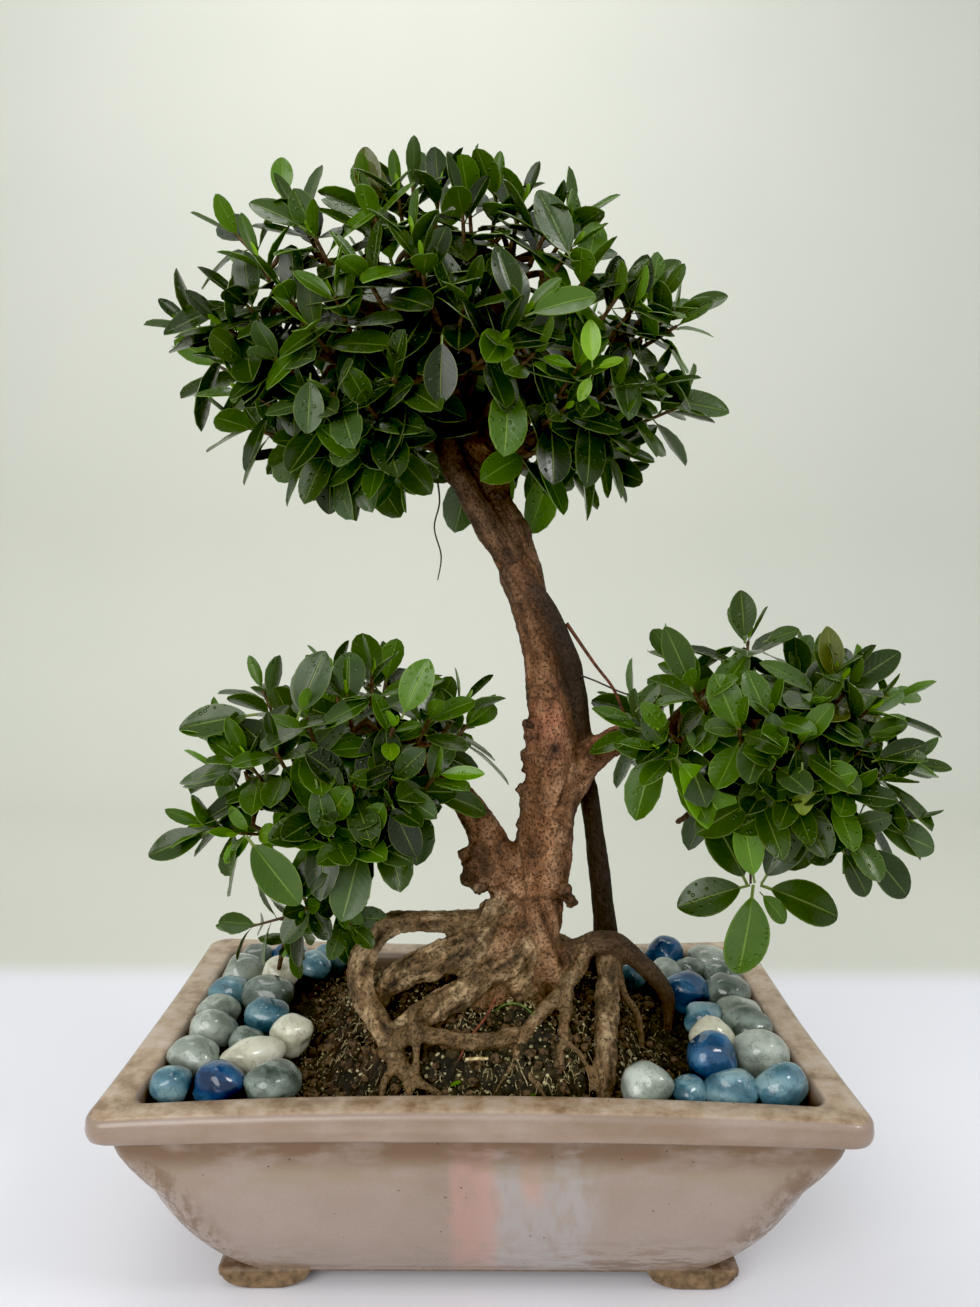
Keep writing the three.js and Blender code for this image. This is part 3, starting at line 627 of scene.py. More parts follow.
def crumbMaterial(name, dark, pale):
    material, shader = newMaterial(name, Roughness=0.88)
    speck = grain(potVector(), 0.4, 4.0)
    wear(shader, ramp(speck, (0.38, srgb(*dark)), (0.62, srgb(*pale))),
         between(speck, 0.3, 0.7, 0.75, 0.95), raised(speck, 0.5))
    return material


def soilSpot():  # somewhere on the open soil, between the pebbles
    while True:
        x, y = dice.uniform(-132, 126), dice.uniform(-98, 92)
        if abs(x) < 96 + dice.uniform(0, 20):
            return Vector((x, y, soilHeight(x, y)))


def makeSoil():
    bm = bmesh.new()
    bmesh.ops.create_grid(bm, x_segments=300, y_segments=176, size=1)
    # Each vertex keeps its clod-top height, which drives the painted shade in the gaps.
    clodShadeLayer = bm.verts.layers.float.new("clodTopForShade")
    for vert in bm.verts:
        u, v = vert.co.x, vert.co.y
        x = u * (soilShape["halfLength"] - soilShape["shortBow"] * (1 - v * v))
        y = v * (soilShape["halfDepth"] - soilShape["longBow"] * (1 - u * u))
        vert.co = place(x, y, soilHeight(x, y))
        vert[clodShadeLayer] = clods(x, y)
    rim = [edge for edge in bm.edges if edge.is_boundary]
    skirt = bmesh.ops.extrude_edge_only(bm, edges=rim)["geom"]
    for vert in vertsIn(skirt):
        x, y = (vert.co - potCentre).xy / mm
        vert.co = place(x * soilShape["narrowX"], y * soilShape["narrowY"], soilShape["bottom"])
    bmesh.ops.holes_fill(bm, edges=[e for e in bm.edges if e.is_boundary], sides=0)
    ridesAs(link("soil_bed", meshFrom("soil_bed", bm), soilMaterial()), "soil", "soil")


def crumb(bm, at, size, squash=0.7):
    lump = bmesh.ops.create_icosphere(bm, subdivisions=1, radius=1)["verts"]
    shift = Vector((at.x, at.y, size)) * 0.37
    for vert in lump:
        vert.co *= 1 + 0.45 * noise.noise(vert.co * 1.2 + shift)
    turn = Matrix.Rotation(dice.uniform(0, 6.28), 4, "Z") @ Matrix.Rotation(dice.uniform(-0.4, 0.4), 4, "X")
    scale = Matrix.Diagonal((size * mm, size * dice.uniform(0.7, 1) * mm, size * squash * mm, 1))
    bmesh.ops.transform(bm, matrix=Matrix.Translation(place(*at)) @ turn @ scale, verts=lump)


def strandCurve(name, thickness, sides=0):
    curve = bpy.data.curves.new(name, "CURVE")
    curve.dimensions = "3D"
    curve.bevel_depth = thickness * mm
    curve.bevel_resolution = sides
    curve.use_fill_caps = True
    return curve


def addStrand(curve, points, radii=None):
    spline = curve.splines.new("POLY")
    spline.points.add(len(points) - 1)
    for i, point in enumerate(points):
        spline.points[i].co = (*place(*point), 1)
        spline.points[i].radius = radii[i] if radii else 1.0
    spline.use_smooth = True


def curveMesh(name, curve):  # the curve's tubes as a plain mesh
    holder = bpy.data.objects.new(name, curve)
    bpy.context.scene.collection.objects.link(holder)
    mesh = applied(holder, name)
    bpy.data.objects.remove(holder)
    return mesh


def makeSoilLitter():
    kinds = (("soil_crumbs", (22, 15, 8), (104, 80, 54), soilShape["crumbs"], (0.9, 4.4)),
             ("soil_moss", (76, 76, 36), (192, 182, 142), soilShape["flecks"], (0.4, 1.5)))
    for name, dark, pale, count, sizes in kinds:
        bm = bmesh.new()
        for i in range(count):
            at = soilSpot()
            size = sizes[0] + (sizes[1] - sizes[0]) * dice.random() ** 2
            crumb(bm, at + up * size * 0.25, size)
        litter = meshFrom(name, bm, smooth=name == "soil_moss")
        ridesAs(link(name, litter, crumbMaterial(name, dark, pale)), "soil")
    curve = strandCurve("soil_rootlets", 1.0)
    for i in range(soilShape["strands"]):
        at = soilSpot()
        if noise.noise(at * 0.03 + up * 5) < -0.12:
            continue
        heading, bend = dice.uniform(0, 6.28), dice.uniform(-0.9, 0.9)
        points, reach = [], dice.uniform(0.5, 1.5)
        for k in range(5):
            lift = math.sin(k / 4 * math.pi) * dice.uniform(0.4, 1.6)
            points.append(at + up * (lift + 0.15))
            at = at + Vector((math.cos(heading), math.sin(heading), 0)) * reach
            at.z = soilHeight(at.x, at.y)
            heading += bend
        thick = dice.uniform(0.2, 0.42)
        addStrand(curve, points, [thick, thick * 1.1, thick, thick * 0.8, thick * 0.4])
    rootlets = link("soil_rootlets", curveMesh("soil_rootlets", curve),
                    crumbMaterial("rootletTan", (70, 60, 34), (186, 170, 128)))
    ridesAs(rootlets, "soil")


makeSoil()
makeSoilLitter()
print("soil ready")


stoneLooks = {"size": 0.56, "flats": 5, "flatness": 0.4, "uneven": 0.14, "tilt": 0.12}
# Each stone's width, depth and height, its turn in degrees and its kind; its place is its CAD node's.
stoneRows = {
    "left": [(27, 24, 24, 10, "pale"), (24, 20, 18, 20, "grey"), (28, 22, 22, -15, "blue"),
             (24, 20, 20, 0, "teal"), (25, 22, 20, 15, "cream"), (22, 20, 18, -20, "teal"),
             (23, 22, 21, 30, "teal"), (33, 24, 23, 5, "grey"), (28, 22, 20, -10, "teal"),
             (24, 20, 19, 0, "pale"), (28, 24, 24, 20, "pale"), (24, 22, 23, 30, "cream"),
             (20, 18, 16, 0, "grey"), (29, 22, 20, -10, "pale"), (36, 19, 19, 32, "cream"),
             (21, 20, 18, 0, "teal"), (27, 22, 22, -5, "blue"), (27, 24, 22, 10, "grey")],
    "right": [(24, 22, 27, 0, "blue"), (22, 20, 19, 10, "teal"), (30, 22, 20, -10, "pale"),
              (21, 20, 17, 0, "grey"), (22, 20, 20, 20, "pale"), (22, 20, 18, 0, "teal"),
              (26, 22, 21, 30, "grey"), (26, 25, 24, 0, "grey"), (31, 25, 24, -12, "blue"),
              (27, 20, 17, 8, "pale"), (28, 24, 23, 0, "grey"), (25, 20, 18, 15, "teal"),
              (26, 23, 23, 0, "cream"), (28, 24, 25, -10, "blue"), (31, 25, 26, 0, "pale"),
              (27, 23, 23, 0, "pale"), (17, 18, 15, 0, "teal"), (27, 22, 19, 0, "teal"),
              (27, 20, 22, 12, "teal")],
}


def stoneMaterial(kind):
    looks = {  # dark, mid and light tone, the vein's tone, how milky and how sharply banded
        "blue": ((12, 38, 70), (24, 66, 108), (70, 116, 150), (8, 18, 34), 0.05, 0.5),
        "teal": ((46, 82, 98), (78, 120, 136), (128, 158, 164), (40, 58, 62), 0.2, 0.9),
        "pale": ((112, 122, 110), (142, 152, 140), (186, 192, 182), (92, 100, 84), 0.55, 0.5),
        "grey": ((66, 76, 68), (96, 108, 100), (142, 154, 144), (40, 46, 36), 0.4, 0.8),
        "cream": ((176, 172, 148), (204, 202, 180), (222, 220, 202), (140, 128, 96), 0.25, 0.3),
    }
    dark, mid, light, vein, milk, banding = looks[kind]
    material, shader = newMaterial(f"{kind}Stone", Roughness=0.12, Coat_Weight=0.3, Coat_Roughness=0.04)
    shader.inputs["Subsurface Weight"].default_value = milk
    shader.inputs["Subsurface Radius"].default_value = (1.0, 1.1, 1.0)
    shader.inputs["Subsurface Scale"].default_value = 0.004
    vector = potVector()
    cloud = grain(vector, 0.06, 4.0, roughness=0.6)
    warp = times(cloud, 9.0)
    bands = maths("SINE", plus(dot(vector, (0.11, 0.17, 0.34)), warp))
    tone = plus(cloud, times(bands, 0.12 * banding))
    colour = ramp(tone, (0.36, srgb(*dark)), (0.5, srgb(*mid)), (0.66, srgb(*light)))
    patch = cells(vector, 0.028, output="Color")
    shade = between(axesOf(patch)[0], 0.0, 1.0, 0.0, 0.3)
    colour = mixColour(shade, colour, srgb(*light))
    thread = grain(vector, 0.075, 3.0)
    veins = between(maths("ABSOLUTE", less(thread, 0.5)), 0.014, 0.003, 0.0, 0.4)
    colour = mixColour(veins, colour, srgb(*vein))
    specks = between(grain(vector, 0.5, 2.0, roughness=0.7), 0.66, 0.72, 0.0, 0.75)
    colour = mixColour(specks, colour, srgb(*vein))
    rough = plus(between(cloud, 0.3, 0.7, 0.1, 0.22), times(specks, 0.3))
    wear(shader, colour, rough, raised(grain(vector, 0.12, 2.0), 0.25))
    return material


def makeStone(name, width, depth, height, turn, material, index):
    bm = bmesh.new()
    bmesh.ops.create_icosphere(bm, subdivisions=4, radius=1)
    seed = Vector((index * 3.7, index * 1.3, 0))
    flats = [Vector((dice.gauss(0, 1), dice.gauss(0, 1), dice.gauss(0, 0.7))).normalized()
             for k in range(stoneLooks["flats"])]
    for vert in bm.verts:
        way = vert.co.copy()
        grown = 1 + stoneLooks["uneven"] * noise.noise(way * 1.1 + seed) + 0.014 * noise.noise(way * 4 + seed)
        for flat in flats:  # a tumbled stone keeps soft flats
            grown -= stoneLooks["flatness"] * max(0.0, way.dot(flat) - 0.7)
        vert.co = way * grown
    half = Matrix.Diagonal((*Vector((width, depth, height)) * stoneLooks["size"] * mm, 1))
    low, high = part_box(name)
    at = Matrix.Translation((low + high) / 2)
    most = stoneLooks["tilt"]
    matrix = at @ Matrix.Rotation(math.radians(turn), 4, "Z")
    matrix = matrix @ Matrix.Rotation(dice.uniform(-most, most), 4, "X")
    matrix = matrix @ Matrix.Rotation(dice.uniform(-most, most), 4, "Y") @ half
    bmesh.ops.transform(bm, matrix=matrix, verts=bm.verts)
    return link(f"{name}_stone", meshFrom(name, bm), material)


stoneMaterials = {kind: stoneMaterial(kind) for kind in ("blue", "teal", "pale", "grey", "cream")}
for side, rows in stoneRows.items():
    for index, (width, depth, height, turn, kind) in enumerate(rows):
        node = f"pebble_{side}_{index + 1:02d}"
        stone = makeStone(node, width, depth, height, turn, stoneMaterials[kind], index + len(side))
        ridesAs(stone, f"pebble_{kind}", node)
print("pebbles ready")


# Every limb's bark and its route of (x, y, z, radius).
woodRoutes = {
    "trunk": ("trunk", [(14, -4, 60, 12), (18, -6, 118, 28), (19, -6, 150, 25), (24, -4, 177, 23),
        (31, 0, 200, 20.5), (36, 2, 222, 18.5), (40, 2, 255, 17.8), (42, 2, 285, 17), (40, 3, 320, 14.2),
        (36, 4, 346, 12.4), (31, 4, 368, 11.5), (18, 4, 415, 13), (5, 4, 442, 14), (-6, 4, 466, 14.5),
        (-15, 4, 486, 14), (-24, 3, 510, 11)]),
    "secondStem": ("trunk", [(38, 0, 336, 6), (33, -7, 362, 7), (22, -10, 392, 7.6), (7, -11, 420, 8),
        (-8, -12, 446, 8.5), (-20, -11, 468, 8), (-24, -7, 488, 7)]),
    "aerialRoot": ("aerial", [(12, -10, 409, 4.5), (33, -13, 386, 5.9), (46, -10, 362, 6.5),
        (54, -4, 338, 7), (58, 5, 312, 7.2), (62, 17, 282, 6.9), (68, 22, 258, 6.7), (73, 24, 225, 7),
        (77, 24, 193, 7.7), (81, 20, 155, 8.3), (84, 20, 105, 6)]),
    "rightBranch": ("trunk", [(44, 2, 258, 13), (65, 2, 288, 10), (81, 2, 300, 9), (99, 2, 304, 7.6),
        (122, -2, 307, 6), (146, -5, 309, 5), (168, -8, 312, 4), (186, -8, 312, 3.2)]),
    "rightTopTwig": ("branch", [(112, -1, 306, 5), (122, -8, 322, 4), (136, -10, 334, 3.4),
        (148, -10, 344, 2.8)]),
    "rightLowTwig": ("branch", [(120, -2, 307, 4.5), (142, -8, 290, 3.8), (157, -14, 268, 3.2),
        (157, -20, 248, 2.4)]),
    "rightOuterTwig": ("branch", [(160, -7, 311, 4), (188, -18, 290, 3), (206, -26, 276, 2.4)]),
    "rightStub": ("branch", [(136, -8, 297, 3), (128, -20, 268, 2.6), (113, -26, 256, 2.2)]),
    "cutStub": ("branch", [(186, -20, 286, 2.6), (200, -30, 262, 2.8), (212, -34, 252, 2.6)]),
    "leftBranch": ("trunk", [(24, 0, 196, 15), (14, 0, 216, 13.5), (5, 0, 236, 11.8), (-5, 0, 254, 9.8),
        (-16, -2, 271, 8.5), (-26, -4, 285, 7.3), (-41, -6, 296, 6), (-60, -12, 304, 4.4)]),
    "leftOuterTwig": ("branch", [(-41, -6, 295, 5), (-70, -20, 288, 4), (-102, -32, 276, 3.2),
        (-128, -40, 267, 2.6)]),
    "leftLowTwig": ("branch", [(-20, -3, 277, 5), (-42, -16, 268, 4), (-64, -26, 256, 3.2),
        (-74, -30, 246, 2.6)]),
    "leftHangingTwig": ("branch", [(-94, -29, 281, 5), (-104, -30, 255, 3), (-104, -27, 228, 2.6),
        (-110, -22, 202, 2.2)]),
    "crownLeft": ("dark", [(-12, 3, 478, 11), (-50, -12, 508, 7.5), (-88, -18, 524, 5),
        (-122, -20, 528, 3.2)]),
    "crownUpperLeft": ("dark", [(-20, 3, 496, 11), (-48, -8, 532, 7), (-76, -14, 560, 5),
        (-92, -14, 578, 3.2)]),
    "crownLowerLeft": ("dark", [(-8, 2, 470, 9), (-40, -10, 482, 6), (-72, -16, 484, 4.2),
        (-92, -16, 480, 3)]),
    "crownTop": ("dark", [(-22, 4, 500, 11), (-34, 2, 542, 7), (-42, -4, 574, 4.6), (-44, -8, 592, 3.2)]),
    "crownUpperRight": ("dark", [(-20, 4, 500, 10), (-4, 0, 538, 6.6), (8, -6, 562, 4.6),
        (14, -8, 580, 3.2)]),
    "crownRight": ("dark", [(-12, 4, 482, 10), (20, 2, 514, 6.8), (48, -8, 530, 5), (72, -14, 536, 3.2)]),
    "crownLowerRight": ("dark", [(0, 4, 452, 9), (26, 2, 478, 6), (48, -2, 488, 4.4), (66, -6, 492, 3)]),
    "crownFront": ("dark", [(-16, 0, 488, 9), (-22, -24, 510, 6), (-24, -44, 532, 3.4)]),
    "crownBackLeft": ("dark", [(-18, 8, 492, 9), (-46, 36, 520, 6), (-68, 56, 540, 3.2)]),
    "crownBackRight": ("dark", [(-14, 8, 486, 9), (10, 40, 516, 6), (28, 60, 538, 3.2)]),
    "archRootLeft": ("root", [(12, -8, 184, 8), (-6, -14, 192, 6.8), (-27, -20, 194, 6.6),
        (-47, -26, 196, 6.8), (-61, -32, 191, 7.6), (-68, -38, 180, 8), (-70, -42, 169, 8),
        (-67, -47, 158, 7.6), (-60, -53, 149, 7), (-50, -62, 137, 6.4), (-43, -67, 128, 5.4),
        (-35, -73, 117, 3.8), (-32, -76, 106, 3)]),
    "fatRoot": ("root", [(10, -8, 200, 9), (0, -22, 186, 10), (-13, -28, 179, 11), (-29, -32, 174, 10.6),
        (-45, -35, 168, 8.6), (-58, -36, 156, 6), (-66, -34, 130, 4)]),
    "frontRoot": ("root", [(28, -12, 182, 10), (17, -26, 173, 9), (0, -35, 167, 8.8), (-12, -43, 159, 9),
        (-26, -48, 152, 8.8), (-40, -52, 146, 7.4), (-52, -55, 134, 5.4), (-56, -56, 112, 3)]),
    "lowRoot": ("root", [(24, -52, 139, 5), (-3, -62, 140, 5.2), (-36, -64, 145, 4.6),
        (-58, -60, 130, 3.4)]),
    "thinRoot": ("root", [(-33, -52, 158, 2.8), (-38, -62, 157, 2.8), (-37, -69, 145, 2.6),
        (-33, -76, 114, 2)]),
    "archRootRight": ("branch", [(36, -6, 164, 8), (58, -14, 175, 7.2), (68, -18, 181, 7.4),
        (79, -16, 180, 7.2), (90, -12, 172, 6.6), (103, -8, 159, 6), (113, -2, 145, 5.2),
        (118, 4, 130, 4.4), (118, 6, 110, 3)]),
    "slantRoot": ("root", [(66, -17, 181, 5.6), (57, -23, 167, 5), (47, -33, 156, 4.8), (34, -44, 148, 4.6),
        (24, -55, 139, 4.4), (20, -65, 130, 3.6), (24, -74, 112, 2.6)]),
    "pillarRoot": ("root", [(77, -12, 176, 6.4), (75, -24, 156, 7.2), (73, -40, 146, 7.4),
        (71, -57, 136, 7.2), (69, -70, 126, 6.2), (68, -78, 108, 4.5)]),
    "gnarledRoot": ("root", [(50, -32, 158, 4), (47, -54, 141, 3.6), (43, -65, 130, 3.2),
        (45, -72, 108, 2.4)]),
    "sideRoot": ("root", [(80, -14, 166, 4), (86, -18, 150, 3.2), (94, -18, 136, 2.8), (98, -18, 114, 2)]),
    "footLeft": ("trunk", [(16, -20, 190, 8), (4, -26, 168, 8), (-2, -30, 148, 8), (-8, -34, 122, 8)]),
    "footRight": ("trunk", [(34, -14, 190, 9), (44, -16, 166, 8), (50, -18, 146, 7), (56, -20, 122, 6)]),
    "footBack": ("root", [(24, 12, 180, 10), (20, 34, 156, 9), (12, 52, 140, 7), (2, 70, 116, 5)]),
    "footBackLeft": ("root", [(8, 6, 176, 9), (-18, 20, 160, 7.4), (-40, 30, 146, 6), (-62, 44, 118, 4)]),
    "footBackRight": ("root", [(40, 8, 172, 9), (62, 26, 156, 7), (80, 42, 138, 5.4), (92, 56, 114, 4)]),
    "clawLeft": ("root", [(-44, -66, 130, 3.6), (-36, -76, 126, 3), (-24, -80, 122, 2.2),
        (-12, -82, 114, 1.4)]),
    "clawMiddle": ("root", [(-42, -68, 128, 3), (-40, -80, 124, 2.4), (-36, -88, 114, 1.6)]),
    "clawOuter": ("root", [(-46, -66, 130, 3.4), (-52, -76, 124, 2.6), (-54, -86, 112, 1.8)]),
    "clawRight": ("root", [(22, -62, 132, 2.4), (14, -74, 128, 1.8), (4, -84, 118, 1.2)]),
    "clawSlant": ("root", [(22, -66, 130, 2.6), (30, -76, 124, 2), (38, -84, 114, 1.4)]),
    "clawGnarled": ("root", [(46, -56, 140, 2.6), (56, -64, 134, 2), (60, -74, 124, 1.4),
        (58, -82, 114, 1)]),
    "gnarledFork": ("root", [(45, -62, 132, 2.6), (34, -72, 126, 2.2), (26, -78, 116, 1.4)]),
}
# Burls, bud scars and knots on the bark as (x, y, z, radius).
knots = [(26, -4, 311, 3.8), (27, -5, 303, 2.8), (26, -4, 292, 4), (25, -5, 283, 2.8), (24, -4, 271, 4.4),
         (25, -7, 262, 3), (23, -5, 250, 3.4), (-3, -9, 234, 5.4), (-7, -8, 224, 6), (-9, -6, 216, 5.2),
         (-2, -11, 213, 5.4), (2, -12, 224, 5), (-11, -4, 231, 4), (50, -16, 212, 5), (54, -14, 205, 4.4),
         (-24, -12, 282, 4), (-12, -10, 262, 3), (8, -14, 446, 3.6), (66, -6, 292, 4), (28, -16, 392, 3)]
barkTones = {  # base tone, ridge tone that is partly a painted highlight, and crevice tone that is partly painted shade
    "trunk": ((104, 70, 44), (152, 116, 86), (36, 20, 9)),
    # The crown limbs' dark tone is partly their own darker bark and partly painted shade of the crown.
    "dark": ((58, 40, 25), (92, 70, 48), (20, 12, 6)),
    "aerial": ((36, 22, 13), (60, 42, 28), (14, 8, 4)),
    "branch": ((66, 48, 33), (104, 82, 60), (26, 17, 10)),
    "root": ((98, 78, 52), (168, 146, 114), (30, 21, 12)),
}
barkRelief = {  # how high ribs, rings, wrinkles, cross ridges and scales stand, in millimetres
    "trunk": (1.2, 0.5, 0.6, 0.7, 0.0), "dark": (1.8, 0.25, 0.6, 0.8, 0.0), "root": (0.9, 0.3, 0.9, 0.8, 0.7),
    "aerial": (0.5, 0.15, 0.3, 0.3, 0.0), "branch": (0.5, 0.15, 0.3, 0.3, 0.0),
}
woodLooks = {"tubeStep": 3.0, "voxel": 1.58, "melt": 4, "blended": 9, "blendReach": 2.5, "fullRelief": 9,
             "knotRelief": 1.2, "darkBarkAndShade": (330, 460), "blushAt": 315, "blushReach": 34, "palesBelow": 196,
             "palesOver": 40}


def smoothRoute(points, step):  # points along a Catmull-Rom curve through the given ones
    ends = [points[0], *points, points[-1]]
    samples = []
    for i in range(1, len(ends) - 2):
        a, b, c, d = (Vector(p) for p in ends[i - 1:i + 3])
        steps = max(2, int((c.xyz - b.xyz).length / step)) if len(b) > 3 else 4
        for k in range(steps):
            t = k / steps
            samples.append(0.5 * (2 * b + (c - a) * t + (2 * a - 5 * b + 4 * c - d) * t ** 2
                                  + (3 * b - a - 3 * c + d) * t ** 3))
    samples.append(Vector(points[-1]))
    return samples


def tubeFor(curve, samples, wander=0.0, seed=0.0):
    points, radii = [], []
    for sample in samples:
        at = Vector(sample[:3])
        sway = Vector((noise.noise(at * 0.05 + up * seed), noise.noise(at * 0.05 - up * seed), 0)) * wander
        points.append(at + sway)
        radii.append(sample[3] * (1 + 0.12 * noise.noise(at * 0.06 + up * seed * 3)))
    addStrand(curve, points, radii)


def finderFor(points):
    finder = KDTree(len(points))
    for i, point in enumerate(points):
        finder.insert(point, i)
    finder.balance()
    return finder


def barkGuide(routes):  # where each stretch of wood runs, for bark that follows it
    guide = []
    for name, (tone, points) in routes.items():
        samples = smoothRoute(points, woodLooks["tubeStep"])
        gone = 0.0
        side = Vector((1, 0.2, 0)).normalized()
        for i, sample in enumerate(samples):
            at = Vector(sample[:3])
            ahead = Vector(samples[min(i + 1, len(samples) - 1)][:3]) - Vector(samples[max(i - 1, 0)][:3])
            along = ahead.normalized()
            side = (side - along * side.dot(along)).normalized()
            if i:
                gone += (at - Vector(samples[i - 1][:3])).length
            guide.append((at, along, side.copy(), gone, sample[3], tone))
    return guide


def barkHeight(tone, turned, at, radius):
    ribs = noise.noise(Vector((turned.x / radius * 1.5, turned.y / radius * 1.5, turned.z * 0.016 + radius)))
    rings = noise.noise(Vector((turned.x * 0.03, turned.y * 0.03, turned.z * 0.42)))
    wrinkle = noise.fractal(Vector((turned.x * 0.2, turned.y * 0.2, turned.z * 0.09)), 0.9, 2.1, 4)
    scaly = noise.fractal(at * 0.32, 0.8, 2.1, 3) if tone == "root" else 0.0
    heights = (ribs, rings, wrinkle, noise.noise(at * 0.09), scaly)
    return sum(height * share for height, share in zip(heights, barkRelief[tone]))


def barkMaterial():
    material, shader = newMaterial("figBark", Roughness=0.8)
    tone = attribute("barkTone", "Color")
    run = attribute("barkRun", "Vector")
    streak = grain(run, 0.55, 5.0, stretch=(1, 1, 0.4), roughness=0.7)
    colour = mixColour(between(streak, 0.4, 0.64, 0.0, 0.75), tone, tinted(tone, 1.75, 1.68, 1.58))
    crack = between(grain(run, 0.85, 4.0, stretch=(0.8, 0.8, 0.7), roughness=0.72), 0.46, 0.34)
    colour = mixColour(times(crack, 0.85), colour, tinted(tone, 0.22, 0.2, 0.18))
    patch = between(grain(potVector(), 0.045, 3.0), 0.42, 0.64, 0.0, 0.5)
    colour = mixColour(patch, colour, tinted(colour, 1.15, 1.02, 0.9))
    pores = cells(run, 0.5, stretch=(0.7, 0.7, 1.2), jitter=0.8)
    some = between(cells(run, 0.5, output="Color", stretch=(0.7, 0.7, 1.2), jitter=0.8), 0.4, 0.5)
    lenticel = times(between(pores, 0.34, 0.2), some, attribute("barkRings"))
    colour = mixColour(times(lenticel, 0.7), colour, tinted(tone, 0.3, 0.27, 0.25))
    height = less(plus(times(streak, 1.1), times(lenticel, 0.35)), times(crack, 0.8))
    wear(shader, colour, between(streak, 0.3, 0.7, 0.9, 0.66), raised(height, 1.0))
    return material


def makeWood():
    curve = strandCurve("wood", 1, 3)
    for index, (name, (tone, points)) in enumerate(woodRoutes.items()):
        wander = 1.6 if tone == "root" else 0.6
        tubeFor(curve, smoothRoute(points, woodLooks["tubeStep"]), wander, index * 1.7)
    bm = bmesh.new()
    bm.from_mesh(curveMesh("wood", curve))
    for x, y, z, radius in knots:
        knob = bmesh.ops.create_icosphere(bm, subdivisions=3, radius=radius * mm)["verts"]
        for vert in knob:
            vert.co *= 1 + 0.3 * noise.noise(vert.co * 300 + Vector((x, y, z)))
        bmesh.ops.translate(bm, verts=knob, vec=place(x, y, z))
    bark = barkMaterial()
    wood = link("tree_bark", meshFrom("tree_bark", bm), bark)
    remesh = wood.modifiers.new("skin", "REMESH")
    remesh.mode = "VOXEL"
    remesh.voxel_size = woodLooks["voxel"] * mm
    skinned = applied(wood, "tree_bark")
    wood.modifiers.clear()
    wood.data = dressBark(skinned)
    wood.data.materials.clear()
    wood.data.materials.append(bark)
    ridesAs(wood, "bark", "tree_wood")


toneVectors = {tone: [Vector(srgb(*colour)[:3]) for colour in colours] for tone, colours in barkTones.items()}


def dressBark(mesh):
    bm = bmesh.new()
    bm.from_mesh(mesh)
    cleaned(bm)
    for i in range(woodLooks["melt"]):
        bmesh.ops.smooth_vert(bm, verts=bm.verts, factor=0.5, use_axis_x=True, use_axis_y=True,
                              use_axis_z=True)
    bm.normal_update()
    guide = barkGuide(woodRoutes)
    finder = finderFor([row[0] for row in guide])
    knotFinder = finderFor([knot[:3] for knot in knots])
    toneLayer = bm.verts.layers.float_color.new("barkTone")
    runLayer = bm.verts.layers.float_vector.new("barkRun")
    ringLayer = bm.verts.layers.float.new("barkRings")
    moves = []
    for vert in bm.verts:
        at = (vert.co - potCentre) / mm
        near = finder.find_n(at, woodLooks["blended"])
        spot, along, side, gone, radius, tone = guide[near[0][1]]
        shares = {}
        for spotAt, index, far in near:
            weight = math.exp(-max(0.0, far - guide[index][4]) / woodLooks["blendReach"])
            shares[guide[index][5]] = shares.get(guide[index][5], 0.0) + weight
        whole = sum(shares.values())
        offset = at - spot
        across = along.cross(side)
        run = Vector((offset.dot(side), offset.dot(across), gone + offset.dot(along)))
        height = barkHeight(tone, run, at, radius)
        knotAt, knotIndex, knotFar = knotFinder.find(at)
        knotty = clamp(1.6 - knotFar / knots[knotIndex][3])
        height += knotty * noise.noise(at * 0.5) * woodLooks["knotRelief"]
        height *= clamp(radius / woodLooks["fullRelief"], 0.25, 1)
        vert[runLayer] = run
        vert[ringLayer] = shares.get("trunk", 0.0) / whole
        base, ridgeAndHighlight, creviceAndShade = (sum((toneVectors[shared][k] * (weight / whole)
                                     for shared, weight in shares.items()), Vector()) for k in range(3))
        if tone == "trunk":
            # The trunk darkens upward into the crown: partly its own darker bark and partly painted shade of
            # the crown.
            start, end = woodLooks["darkBarkAndShade"]
            rise = clamp((at.z - start) / (end - start))
            base = base.lerp(toneVectors["dark"][0], rise)
            ridgeAndHighlight = ridgeAndHighlight.lerp(toneVectors["dark"][1], rise)
            blush = clamp(1 - abs(at.z - woodLooks["blushAt"]) / woodLooks["blushReach"]) * 0.8
            blush *= clamp(0.5 + noise.noise(at * 0.05) * 1.4)
            base = base.lerp(Vector(srgb(142, 92, 70)[:3]), blush)
            low = clamp((woodLooks["palesBelow"] - at.z) / woodLooks["palesOver"]) * 0.5
            base = base.lerp(toneVectors["root"][0], low)
        # Raised bark goes toward the ridge tone and sunken bark toward the crevice tone: painted highlight on
        # the ridges and painted shade in the crevices, over the bark's own tones.
        shade = base.lerp(ridgeAndHighlight, clamp(height * 0.8)).lerp(creviceAndShade, clamp(-height * 1.0 - 0.1))
        shade = shade.lerp(Vector(srgb(40, 26, 16)[:3]), knotty * 0.75)
        vert[toneLayer] = (*shade, 1)
        moves.append(vert.normal * height * mm)
    for vert, move in zip(bm.verts, moves):
        vert.co += move
    for face in bm.faces:
        face.smooth = True
    bm.to_mesh(mesh)
    bm.free()
    print("wood has", len(mesh.polygons), "faces")
    return mesh


makeWood()
print("wood ready")


